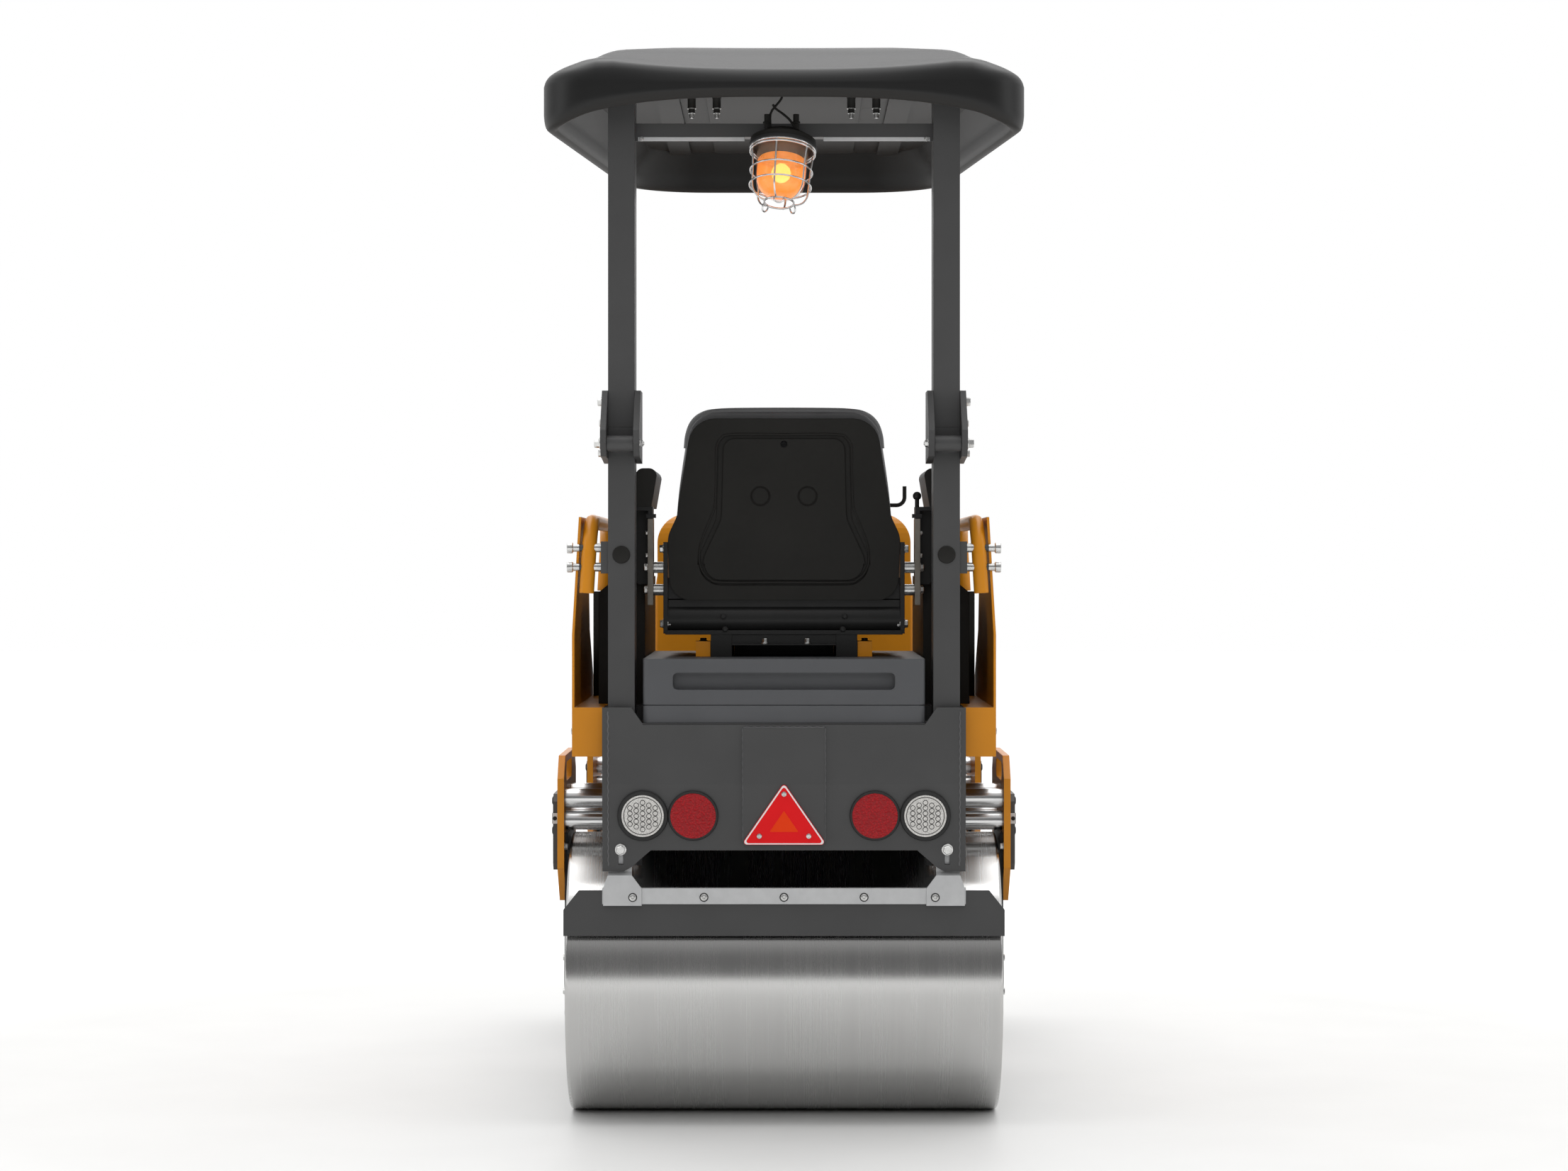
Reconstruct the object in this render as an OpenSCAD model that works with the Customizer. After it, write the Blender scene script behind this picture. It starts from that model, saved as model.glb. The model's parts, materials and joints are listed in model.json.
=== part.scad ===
// Small ride-on tandem roller: two smooth drums, a centre pivot, a seat over the rear drum,
// an engine hood over the front drum and a folding two-post roll bar with a moulded canopy.
// Lengths are in millimetres. +Y is forward, +X is right, the drums stand on z = 0.
// Rear pieces are drawn from the rear axle, front pieces from the front axle facing back.

/* [Drums] */
// Outer radius of both drums
drum_r = 290; // [270:1:310]
// Width of each drum
drum_w = 890; // [860:1:900]
// Thickness of the drum shell
drum_wall = 14; // [8:1:20]
// Depth of the recess at each drum end
drum_recess = 60; // [54:1:90]
// Bore radius in each drum head
hub_bore_r = 60; // [45:1:70]
// Distance between the two drum axles
wheelbase = 1300; // [1280:1:1400]

/* [Forks] */
// Gap between a drum end and its axle bracket
drum_end_gap = 5; // [5:1:9]
// Thickness of the axle bracket plates
bracket_t = 6; // [5:1:10]
// Thickness of the fork plates
fork_t = 14; // [8:1:16]
// Thickness of the caps outside the fork plates
cap_t = 11; // [6:1:12]
// Radius of the fork tubes
tube_r = 20; // [14:1:21]
// Gap between the drum and the lower fork tubes
tube_gap = 10; // [8:1:20]
// Height between the two rows of fork tubes
tube_pitch = 46; // [44:1:60]

/* [Frame] */
// Half the width over the frame's side plates
frame_half_w = 303; // [297:1:306]
// Thickness of the frame's side plates
frame_t = 12; // [8:1:14]
// Height of the frame's top above the upper fork tubes
frame_rise = 166; // [150:1:180]
// Half the width of the rear and front plates
plate_half_w = 368; // [364:1:372]
// Thickness of the rear and front plates
plate_t = 10; // [6:1:14]
// Forward lean of the plates below their bend, in degrees
plate_kick = 6; // [0:1:8]
// Height of the foot deck below the frame's top
deck_drop = 262; // [240:1:280]
// Radius of the centre pivot pin
pivot_r = 30; // [20:1:36]

/* [Roll bar] */
// Width of the roll bar posts across the roller
post_w = 54; // [50:1:58]
// Depth of the roll bar posts along the roller
post_d = 90; // [80:1:100]
// Wall of the roll bar posts
post_wall = 6; // [4:1:8]
// Height of the lower posts above the frame's top
lower_post_h = 599; // [580:1:640]
// Length of the upper posts
upper_post_h = 678; // [640:1:720]
// Distance of the fold pivot behind the posts
fold_back = 55; // [50:1:60]
// Radius of the fold pivot pins
fold_pin_r = 10; // [7:1:11]

/* [Canopy] */
// Half the width of the canopy at its rear
canopy_rear_hw = 485; // [484:1:500]
// Half the width of the canopy at its front
canopy_front_hw = 385; // [360:1:410]
// Reach of the canopy behind the rear axle
canopy_rear = 420; // [410:1:440]
// Reach of the canopy ahead of the rear axle
canopy_front = 840; // [780:1:880]
// Height of the canopy's crown above its underside
canopy_crown = 126; // [110:1:140]
// Drop of the canopy's rim below its underside
canopy_rim = 86; // [70:1:95]
// Rise of the rim's arch at the rear
canopy_arch = 50; // [0:1:56]

/* [Seat] */
// Half the width of the seat's back shell
shell_half_w = 241; // [230:1:248]
// Height of the back shell
shell_h = 377; // [360:1:400]
// Length of the seat cushion
cushion_l = 440; // [400:1:460]
// Height of the water tank
tank_h = 130; // [120:1:150]

/* [Hood] */
// Half the width of the hood
hood_half_w = 300; // [290:1:302]
// Height of the hood at its rear
hood_h = 500; // [460:1:540]
// Fall of the hood's top from rear to front
hood_fall = 150; // [100:1:200]
// Thickness of the hood's sheet
hood_t = 6; // [3:1:8]

/* [Hidden] */
$fn = 64;

// Colours
charcoal = [0.27, 0.27, 0.28];
yellow = [0.80, 0.50, 0.09];
black = [0.11, 0.11, 0.11];
bright = [0.75, 0.75, 0.76];
slate = [0.31, 0.32, 0.34];

// Clearances shared by all pieces
overrun = 1;
run_gap = 0.05;
seat_gap = 0.3;
swing_gap = 5;

// Heights
axle_z = drum_r;
tube_low_z = 2 * drum_r + tube_gap + tube_r;
tube_high_z = tube_low_z + tube_pitch;
frame_top_z = tube_high_z + frame_rise;
deck_top_z = frame_top_z - deck_drop;
post_joint_z = frame_top_z + lower_post_h;
roof_z = post_joint_z + seat_gap + upper_post_h;

// Widths from the drum outwards
bracket_x = drum_w / 2 + drum_end_gap;
fork_x = bracket_x + bracket_t;
cap_x = fork_x + fork_t;
frame_in_x = frame_half_w - frame_t;
post_x = frame_half_w;
post_out_x = post_x + post_w;

// Plates behind the drums, measured from an axle
plate_drum_gap = 2;
plate_in_y = -(drum_r + plate_drum_gap);
plate_out_y = plate_in_y - plate_t;
bend_drop = 123;
bend_z = frame_top_z - bend_drop;
lug_reach = 64;
front_reach = wheelbase - plate_out_y + lug_reach;
pivot_y = wheelbase / 2;

// Axles along the roller, with the origin midway between its ends
rear_axle_y = (canopy_rear - front_reach) / 2;
front_axle_y = rear_axle_y + wheelbase;

// Drum heads and hubs
drum_edge_r = 8;
head_t = 12;
hub_wall = 35;
hub_l = 40;
head_x = drum_w / 2 - drum_recess - head_t / 2;

// Frame side plates
drum_clear = 20;
frame_low_drop = 262;
frame_low_z = frame_top_z - frame_low_drop;
tank_front_y = 400;
deck_step = 30;
deck_t = 8;
cross_t = 12;
cross_y = drum_r + drum_clear + 2 * swing_gap;
deck_arm_y = pivot_y - 2 * swing_gap;
deck_arm_h = 62;
shelf_t = 6;
arm_w = 40;
arm_h = 30;
arm_y_shares = [0.1, 0.82];

// Centre pivot
yoke_rise = 10;
yoke_low_z = axle_z + yoke_rise;
yoke_lug_t = 20;
yoke_gap_h = 100;
yoke_r = 80;
yoke_beam_w = 120;
yoke_beam_clear = 50;
tongue_half_w = 70;
yoke_high_z = yoke_low_z + 2 * yoke_lug_t + yoke_gap_h;
tongue_low_z = yoke_low_z + yoke_lug_t + swing_gap;
tongue_high_z = yoke_high_z - yoke_lug_t - swing_gap;
steer_z = (tongue_low_z + tongue_high_z) / 2;

// Steering cylinder beside the pivot
steer_lever = 120;
steer_angle = 30;
steer_x = -steer_lever * (1 + cos(steer_angle)) / 2;
barrel_r = 26;
barrel_l = 170;
barrel_foot = 30;
rod_r = 13;
rod_tail = 100;
eye_r = 28;
eye_h = 24;
eye_bore_r = 18;
eye_pin_r = 8;
ear_t = 8;
ear_r = 26;
ear_gap = eye_h + 2 * swing_gap;

// Water tank
tank_side_gap = 17;
tank_half_w = frame_half_w - tank_side_gap;
tank_rear_y = plate_in_y + plate_drum_gap;
tank_edge_r = 12;
tank_top_z = frame_top_z + tank_h;
tank_seam_rise = 35;
tank_seam_z = frame_top_z + tank_seam_rise;
tank_seam = 2;
slot_margin = 61;
slot_half_w = tank_half_w - slot_margin;
slot_h = 34;
slot_z_share = 0.65;
slot_deep = 24;
slot_r = 10;

// Rear plate outline
plate_top_rise = 32;
plate_shoulder = 6;
plate_shoulder_x = frame_half_w + plate_shoulder;
plate_cut_x = tank_half_w - overrun;
plate_cut_drop = 3;
leg_drop = 178;
leg_w = 43;
leg_in_x = plate_half_w - leg_w;
leg_slope_x = 270;
leg_foot = 9;
leg_cut_drop = 135;
panel_half_w = 82;
panel_t = 8;
panel_up = 114;
panel_down = 124;
keyhole_inset = 37;
keyhole_x = plate_half_w - keyhole_inset;
keyhole_drop = 134;
keyhole_r = 8;
keyhole_slot = 31;
keyhole_half_w = 5;

// Round lamps in the rear and front plates
lamp_drop = 64;
lamp_x = 286;
reflector_x = 184;
lamp_r = 46;
lamp_ring_r = 50.5;
lamp_proud = 7;
ring_proud = 4;

// Warning triangle
sign_half_w = 81;
sign_h = 128;
sign_t = 4;
sign_r = 6;
sign_top = 6;

// Scrapers behind the drums
blade_gap = 11;
blade_t = 10;
blade_over = 2;
blade_half_w = drum_w / 2 + blade_over;
blade_corner = 31;
blade_top_half_w = blade_half_w - blade_corner;
blade_rise = 101;
blade_low_z = axle_z + blade_rise;
blade_h = 92;
blade_side_h = 53;
blade_in_y = -(sqrt(pow(drum_r, 2) - pow(blade_rise, 2)) + blade_gap);
blade_out_y = blade_in_y - blade_t;
bar_half_w = plate_half_w;
bar_t = 5;
bar_h = 32;
bar_flange = 14;
hanger_w = 48;
hanger_inset = 11;
hanger_out_x = plate_half_w - hanger_inset;
hanger_in_x = hanger_out_x - hanger_w;
hanger_drop = 232;
hanger_top_z = frame_top_z - hanger_drop;

// Fork outline, measured from an axle
fork_rear = 120;
fork_front = 300;
fork_rise = 89;
fork_chamfer = 46;
fork_foot_rise = 150;
fork_waist_rise = 224;
fork_low_z = axle_z + fork_foot_rise;
fork_waist_z = axle_z + fork_waist_rise;
fork_foot_shares = [0.19, 0.62];
tube_y_list = [-70, 120];
eyelet_r = 20;
eyelet_l = 150;
eyelet_drop = 35;
cap_rear = 90;
cap_front = 140;
cap_over = 9;
cap_under = 103;
cap_chamfer = 15;
bracket_hub_r = 110;
boss_r = 85;

// Roll bar fold
post_rear_y = -280;
post_foot = 222;
hinge_t = 12;
hinge_low = 71;
hinge_high = 75;
fold_drop = 34;
fold_sleeve_r = 16;
fold_lug_w = 40;
fold_plate_r = 26;
fold_y = post_rear_y - fold_back;
fold_z = post_joint_z - fold_drop;
stay_t = 15;
stay_h = 65;
stay_w = 50;
stay_rise = 303;
stay_z = frame_top_z + stay_rise;
crossbar_h = 27;
crossbar_d = 40;
crossbar_drop = 59;
lip_in_x = 80;
lip_t = 3;
lip_h = 9;

// Canopy
canopy_rear_r = 110;
canopy_front_r = 210;
canopy_min_r = 30;
canopy_lip = 60;
canopy_arc_n = 8;
canopy_edge_n = 10;
// Rows of the loft, first down from the underside round the rim: inset, drop and share of the rear arch
canopy_rim_shares = [
    [1.23, 0, 0], [0.75, 0.5, 0.5], [0.5, 0.95, 1], [0.25, 1, 1], [0.07, 0.88, 1], [0, 0.6, 0.7],
    [0, 0.2, 0.3]
];
// Then up to the crown: inset and rise along the sides, then at the middle of the rear brow
canopy_crown_shares = [
    [0, 0.04, 0, 0.025], [0.07, 0.14, 0.07, 0.11], [0.23, 0.23, 0.17, 0.19], [0.57, 0.32, 0.3, 0.25],
    [1.03, 0.4, 0.47, 0.28], [1.53, 0.5, 0.73, 0.33], [1.87, 0.59, 1.1, 0.4], [2.23, 0.67, 1.6, 0.5],
    [2.83, 0.75, 2.33, 0.635], [4, 0.85, 3.67, 0.81], [5.5, 0.94, 5.33, 0.93]
];
canopy_rows = concat(
    [for (s = canopy_rim_shares)
        [canopy_lip * s[0], -canopy_rim * s[1], canopy_lip * s[0], canopy_arch * s[2] - canopy_rim * s[1]]],
    [for (s = canopy_crown_shares)
        [canopy_lip * s[0], canopy_crown * s[1], canopy_lip * s[2], canopy_crown * s[3]]]
);

// Caged lamp under the roof's cross bar
lamp_lean = 17;
lamp_roll = 4;
beacon_r = 67;
beacon_base_h = 34;
beacon_neck_r = 40;
beacon_lens_r = 52;
beacon_lens_h = 104;
beacon_wire_r = 2.4;
beacon_rib_r = 2;
beacon_ring_r = 26;
beacon_bend_r = 34;
beacon_cage_h = 132;
beacon_ring_shares = [0.40, 0.72];
beacon_ribs = 6;
beacon_back = 48;
gland_r = 6;
gland_nut_r = 8.5;
gland_nut_h = 4;
gland_nut_drop = 65;
gland_drop = 46;
gland_foot = 95;
gland_x_list = [-34, 24.5];
lead_r = 2.4;
lead_sides = 12;
lead_apart = 3.5;
grommet_r = 9;
grommet_h = 6;
// The lead's route: distance from the middle plane and height from the canopy's underside
lead_route = [
    [-27.6, -90], [-27.7, -76], [-27.9, -63], [-28.2, -54.4], [-27.5, -46], [-24, -37.7], [-18.1, -30.6],
    [-13.6, -25.6], [-9.7, -21.1], [-5.8, -15.6], [-3.4, -9.8], [-2, -2]
];
branch_route = [
    [22, -78], [19.6, -69.5], [15.8, -63.8], [12.2, -58.6], [8.1, -54.4], [1.8, -48.8], [-5, -43.6],
    [-12.4, -38.6], [-17.6, -34.4], [-20.6, -30.6], [-22.4, -26.4]
];

// Seat
seat_y = -120;
rail_h = 48;
rail_half_w = 130;
rail_w = 44;
seat_base_z = tank_top_z + rail_h;
pan_t = 6;
cushion_inset = 26;
cushion_half_w = shell_half_w - cushion_inset;
cushion_h = 85;
cushion_top_z = seat_base_z + pan_t + seat_gap + cushion_h;
cushion_r = 40;
back_t = 70;
seat_arc_n = 6;
shell_t = 24;
shell_waist_in = 20;
shell_top_in = 42;
shell_foot_in = 3;
shell_waist_share = 0.483;
shell_waist_h = shell_h * shell_waist_share;
shell_top_r = 56;
shell_foot_r = 45;
shell_bend_r = 60;
shell_flare = 25;
shell_rise = 69;
shell_z = seat_base_z + shell_rise;
groove_side = 62;
groove_waist = 81;
groove_end = 31;
groove_top_r = 34;
groove_w = 11;
groove_d = 4;
dimple_r = 22;
dimple_d = 5;
dimple_x = 49;
dimple_z = 216;
peg_hole_r = 7;
peg_hole_z = 324;
pad_over = 8;
pad_rise = 22;
pad_low = 44;
pad_foot_r = 90;
pad_top_r = 64;
cheek_x = shell_half_w + seat_gap;
cheek_t = 9;
cheek_h = 190;
cheek_l = 200;
seat_tube_r = 30;
link_gap = 21.7;
link_x = cheek_x + cheek_t + link_gap;
link_t = 10;
link_h = 203;
link_w = 60;
link_foot = 60;
spacer_r = 11;
spacer_z_shares = [0.15, 0.38];
flange_t = 8;
armrest_in = 8;
armrest_out = 19;
armrest_left_x = link_x - armrest_in;
armrest_right_x = link_x + armrest_out;
knob_r = 9;
knob_stalk_r = 4.5;
knob_rise = 24;
armrest_w = 44;
armrest_h = 80;
armrest_l = 300;
armrest_r = 16;
armrest_taper = 11;

// Side panels, rails and consoles
box_gap = 11;
box_w = 64;
box_in_x = post_out_x + box_gap;
box_out_x = box_in_x + box_w;
box_drop = 70;
box_rise = 30;
panel_rear_y = -250;
panel_front_y = 535;
sheet_t = 5;
sheet_knee = 148;
sheet_lean_x = 14;
sheet_top = 388;
sheet_top_y = -80;
sheet_slope_y = 200;
sheet_slope = 240;
rail_r = 15;
rail_inset = 30;
rail_x = box_out_x - rail_inset;
rail_lean = 3.3;
rail_foot_rise = 263;
rail_foot_z = frame_top_z + rail_foot_rise;
rail_rise = 146;
rail_bend_r = 70;
rail_far_y = 446;
bolt_r = 7;
bolt_head_r = 11;
bolt_head_t = 9;
bolt_z_shares = [0.2, 0.8];
rail_bolt_z = [for (share = bolt_z_shares) stay_z + share * stay_h];
console_gap = 5;
console_link_gap = 9;
console_inset = 44;
console_x = max(tank_half_w + console_gap, link_x + link_t + console_link_gap);
console_out_x = box_out_x - console_inset;
console_rear_y = -50;
console_front_y = 560;
console_h = 266;
console_step = 233;
console_chamfer = 40;
pedestal_inset = 8;
pedestal_t = 46;
pedestal_out_x = box_out_x - pedestal_inset;
pedestal_in_x = pedestal_out_x - pedestal_t;
pedestal_w = 60;

// Deck, column and wheel
deck_inset = 12;
deck_half_w = box_out_x - deck_inset;
deck_rear_y = cross_y + cross_t + seat_gap;
deck_side_y = tank_front_y + deck_step + seat_gap;
deck_nose = 50;
deck_front_y = pivot_y + deck_nose;
dash_h = 60;
column_half_w = 55;
column_foot_y = 560;
column_foot_l = 80;
column_top_y = 530;
column_top_l = 66;
wheel_over_seat = 8.7;
column_h = cushion_top_z + wheel_over_seat - deck_top_z - dash_h;
dash_half_w = 130;
dash_l = 110;
wheel_tilt = 25;
wheel_r = 165;
wheel_rim_r = 14;
wheel_hub_r = 30;
wheel_hub_h = 40;
wheel_shaft_r = 12;
wheel_spoke_r = 8;
wheel_shaft_l = 110;
wheel_dish = 26;
wheel_foot_y = column_top_y + column_top_l / 2;
wheel_foot_z = deck_top_z + column_h + dash_h;
lever_r = 4.5;
lever_bend_r = 18;
lever_drop = 30;
lever_wheel_gap = 21;
lever_x = wheel_r + wheel_rim_r + lever_wheel_gap;
lever_throw = 73;
lever_rise = 178;
lever_tip = 43;

// Front frame and hood, measured back from the front axle
front_top_drop = 62;
front_top_z = frame_top_z - front_top_drop;
front_top_t = 8;
hood_rear_y = 365;
hood_front_y = plate_in_y + swing_gap;
hood_tail_h = 60;
hood_base_z = front_top_z + swing_gap;
hood_edge_r = 70;
hood_nose_r = 110;
hood_back_r = 60;
hood_lean = 10;
hood_arc_n = 8;
grille_half_w = 200;
grille_low = 70;
grille_h = 190;
grille_bars = 7;
grille_bar_t = 8;
louvre_l = 200;
louvre_h = 14;
louvre_pitch = 36;
louvre_count = 5;
louvre_z = 120;
hinge_pin_r = 6;
hinge_barrel_r = 12;
hinge_barrel_l = 40;
hinge_x = 190;
hinge_axis_y = hood_front_y - hinge_barrel_r - swing_gap;
hinge_axis_z = hood_base_z + hinge_barrel_r;
engine_half_w = 190;
engine_front_y = -170;
engine_l = 400;
engine_room = 54;
engine_h = hood_h - hood_fall - hood_t - engine_room;
lug_half_t = 12;
lug_r = 34;
lug_bore_r = 20;
lug_drop = 110;
lug_z = front_top_z - lug_drop;

// Helpers
function mirrored(points) = concat(points, [for (i = [len(points) - 1:-1:0]) [-points[i][0], points[i][1]]]);
function arc(cx, cy, r, from, to, n) =
    [for (i = [0:n]) let (a = from + (to - from) * i / n) [cx + r * cos(a), cy + r * sin(a)]];
function between(p, q, n) = [for (i = [1:n - 1]) p + (q - p) * i / n];

module both() {
    children();
    mirror([1, 0, 0]) children();
}
module at_rear() {
    translate([0, rear_axle_y, 0]) children();
}
module at_front() {
    translate([0, front_axle_y, 0]) mirror([0, 1, 0]) children();
}
module side_plate(x, t, points) {
    translate([x, 0, 0]) rotate([90, 0, 90]) linear_extrude(t) polygon(points);
}
module cross_plate(y, t, points) {
    translate([0, y + t, 0]) rotate([90, 0, 0]) linear_extrude(t) polygon(points);
}
module block(x, y, z) {
    translate([x[0], y[0], z[0]]) cube([x[1] - x[0], y[1] - y[0], z[1] - z[0]]);
}
module bar_x(r, x0, x1) {
    translate([x0, 0, 0]) rotate([0, 90, 0]) cylinder(r = r, h = x1 - x0);
}
module bar_y(r, y0, y1) {
    translate([0, y0, 0]) rotate([-90, 0, 0]) cylinder(r = r, h = y1 - y0);
}
module rounded(w, h, r) {
    square([w - 2 * r, h], center = true);
    square([w, h - 2 * r], center = true);
    for (sx = [-1, 1], sy = [-1, 1])
        translate([sx * (w / 2 - r), sy * (h / 2 - r)]) circle(r = r);
}
// Places children on the plate's part below the bend, with y = 0 on its outer face
module on_kick() {
    translate([0, plate_out_y, bend_z]) rotate([plate_kick, 0, 0]) children();
}
function kick_y(z) = plate_in_y + max(0, bend_z - z) * tan(plate_kick);

// Drums
module drum_profile() {
    shell_in = drum_r - drum_wall;
    edge = min(drum_edge_r, drum_wall / 2);
    translate([shell_in, -drum_w / 2]) square([drum_wall - edge, drum_w]);
    translate([shell_in, edge - drum_w / 2]) square([drum_wall, drum_w - 2 * edge]);
    for (s = [-1, 1]) {
        translate([drum_r - edge, s * (drum_w / 2 - edge)]) circle(r = edge);
        translate([hub_bore_r, s * head_x - head_t / 2]) square([shell_in - hub_bore_r + overrun, head_t]);
        translate([hub_bore_r, s * head_x - hub_l / 2]) square([hub_wall, hub_l]);
    }
}
module drum() {
    translate([0, 0, axle_z]) rotate([0, 90, 0]) rotate_extrude($fn = 128) drum_profile();
}
module drum_cut() {
    translate([0, 0, axle_z]) bar_x(drum_r + drum_clear, -drum_w, drum_w);
}
module rear_drum() {
    color(bright) at_rear() drum();
}
module front_drum() {
    color(bright) at_front() drum();
}

// Forks, the same at both ends
module fork_plate() {
    top = tube_high_z + fork_rise;
    waist = top - fork_chamfer;
    span = fork_front + fork_rear;
    difference() {
        side_plate(fork_x, fork_t, [
            [-fork_rear, fork_waist_z], [-fork_rear, waist], [fork_chamfer - fork_rear, top],
            [fork_front - fork_chamfer, top], [fork_front, waist], [fork_front, fork_waist_z],
            [span * fork_foot_shares[1] - fork_rear, fork_low_z],
            [span * fork_foot_shares[0] - fork_rear, fork_low_z]
        ]);
        for (y = [0, eyelet_l])
            translate([0, y - eyelet_r, top - eyelet_drop])
                bar_x(eyelet_r, fork_x - overrun, cap_x + overrun);
        block([fork_x - overrun, cap_x + overrun], [-eyelet_r, eyelet_l - eyelet_r],
            [top - eyelet_drop - eyelet_r, top - eyelet_drop + eyelet_r]);
    }
}
module fork_tubes() {
    for (y = tube_y_list, z = [tube_low_z, tube_high_z])
        translate([0, y, z]) bar_x(tube_r, frame_half_w, fork_x);
}
module fork_cap() {
    high = tube_high_z + cap_over;
    low = tube_low_z - cap_under;
    side_plate(cap_x, cap_t, [
        [-cap_rear, low + cap_chamfer], [-cap_rear, high - cap_chamfer], [cap_chamfer - cap_rear, high],
        [cap_front - cap_chamfer, high], [cap_front, high - cap_chamfer], [cap_front, low + cap_chamfer],
        [cap_front - cap_chamfer, low], [cap_chamfer - cap_rear, low]
    ]);
}
module axle_bracket() {
    top = tube_low_z - tube_r - tube_gap / 2;
    boss_x = head_x + hub_l / 2 + swing_gap;
    side_plate(bracket_x, bracket_t, [
        [-bracket_hub_r, axle_z], [-cap_rear, top], [cap_front, top], [bracket_hub_r, axle_z]
    ]);
    translate([0, 0, axle_z]) {
        bar_x(bracket_hub_r, bracket_x, fork_x);
        bar_x(boss_r, boss_x, bracket_x + overrun);
        bar_x(hub_bore_r - run_gap, boss_x - swing_gap - hub_l, boss_x + overrun);
    }
}
module rear_fork_plates() {
    color(yellow) at_rear() both() fork_plate();
}
module rear_fork_tubes() {
    color(bright) at_rear() both() fork_tubes();
}
module rear_fork_caps() {
    color(charcoal) at_rear() both() fork_cap();
}
module rear_axle_brackets() {
    color(black) at_rear() both() axle_bracket();
}
module front_fork_plates() {
    color(yellow) at_front() both() fork_plate();
}
module front_fork_tubes() {
    color(bright) at_front() both() fork_tubes();
}
module front_fork_caps() {
    color(charcoal) at_front() both() fork_cap();
}
module front_axle_brackets() {
    color(black) at_front() both() axle_bracket();
}

// Scrapers, the same at both ends
module scraper_blade() {
    cross_plate(blade_out_y, blade_t, mirrored([
        [blade_half_w, blade_low_z], [blade_half_w, blade_low_z + blade_side_h],
        [blade_top_half_w, blade_low_z + blade_h]
    ]));
}
module scraper_bar() {
    top = blade_low_z + blade_h + bar_t;
    face = blade_out_y - bar_t;
    foot = kick_y(top + bar_h) + seat_gap;
    head = kick_y(hanger_top_z) + seat_gap;
    block([-bar_half_w, bar_half_w], [face, blade_out_y], [top - bar_h, top]);
    block([-bar_half_w, bar_half_w], [face, blade_out_y + bar_flange], [top - bar_t, top]);
    both() side_plate(hanger_in_x, hanger_out_x - hanger_in_x, [
        [face, top - bar_t], [foot, top + bar_h], [head, hanger_top_z],
        [head + bar_t, hanger_top_z], [foot + bar_t, top + bar_h], [face + 2 * bar_t, top - bar_t]
    ]);
}
module rear_scraper_blade() {
    color(charcoal) at_rear() scraper_blade();
}
module rear_scraper_bar() {
    color(bright) at_rear() scraper_bar();
}
module front_scraper_blade() {
    color(charcoal) at_front() scraper_blade();
}
module front_scraper_bar() {
    color(bright) at_front() scraper_bar();
}

// Rear frame with the deck arms, the panel arms and the pivot yoke
module frame_sides(points) {
    difference() {
        both() side_plate(frame_in_x, frame_t, points);
        drum_cut();
    }
}
module yoke() {
    beam_end = pivot_y - yoke_r - yoke_beam_clear;
    block([-yoke_beam_w / 2, yoke_beam_w / 2], [cross_y, beam_end], [yoke_low_z, yoke_high_z]);
    for (z = [yoke_low_z, yoke_high_z - yoke_lug_t]) {
        block([-yoke_r, yoke_r], [cross_y, pivot_y], [z, z + yoke_lug_t]);
        translate([0, pivot_y, z]) cylinder(r = yoke_r, h = yoke_lug_t);
    }
    translate([0, pivot_y, yoke_low_z]) cylinder(r = pivot_r, h = yoke_high_z - yoke_low_z);
}
module rear_frame() {
    deck_low_z = deck_top_z - deck_t;
    panel_l = panel_front_y - panel_rear_y;
    color(charcoal) at_rear() {
        frame_sides([
            [kick_y(frame_low_z) + seat_gap, frame_low_z], [plate_in_y + seat_gap, bend_z],
            [plate_in_y + seat_gap, frame_top_z],
            [tank_front_y, frame_top_z], [tank_front_y + deck_step, deck_low_z], [deck_arm_y, deck_low_z],
            [deck_arm_y, deck_low_z - deck_arm_h], [cross_y + cross_t, yoke_low_z], [cross_y, yoke_low_z]
        ]);
        block([-frame_half_w, frame_half_w], [plate_in_y + seat_gap, tank_front_y],
            [frame_top_z - shelf_t, frame_top_z]);
        block([-frame_half_w, frame_half_w], [cross_y, cross_y + cross_t], [yoke_low_z, deck_low_z]);
        both() for (share = arm_y_shares) {
            y = panel_rear_y + panel_l * share;
            top = frame_top_z + box_rise;
            block([frame_in_x, box_in_x], [y, y + arm_w], [top - arm_h, top]);
        }
        yoke();
    }
}

// End plates, bent below the tank and leaning forward under the bend
module bent_sheet(half_w, y0, y1, up, down) {
    lean = down * tan(plate_kick);
    side_plate(-half_w, 2 * half_w, [
        [y0, bend_z + up], [y1, bend_z + up], [y1, bend_z], [y1 + lean, bend_z - down],
        [y0 + lean, bend_z - down], [y0, bend_z]
    ]);
}
module end_plate(top, up, holes) {
    foot_z = bend_z - leg_drop;
    difference() {
        intersection() {
            bent_sheet(plate_half_w, plate_out_y, plate_in_y, up, leg_drop);
            cross_plate(plate_out_y - overrun, leg_drop, mirrored(concat([
                [leg_slope_x, bend_z - leg_cut_drop], [plate_shoulder_x, foot_z + leg_foot],
                [leg_in_x, foot_z], [plate_half_w, foot_z]
            ], top)));
        }
        on_kick() {
            for (x = holes)
                translate([x, 0, -lamp_drop]) bar_y(lamp_ring_r - ring_proud, -plate_t, 2 * plate_t);
            both() translate([keyhole_x, 0, -keyhole_drop]) {
                bar_y(keyhole_r, -plate_t, 2 * plate_t);
                block([-keyhole_half_w, keyhole_half_w], [-plate_t, 2 * plate_t], [-keyhole_slot, 0]);
            }
        }
    }
}
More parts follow.
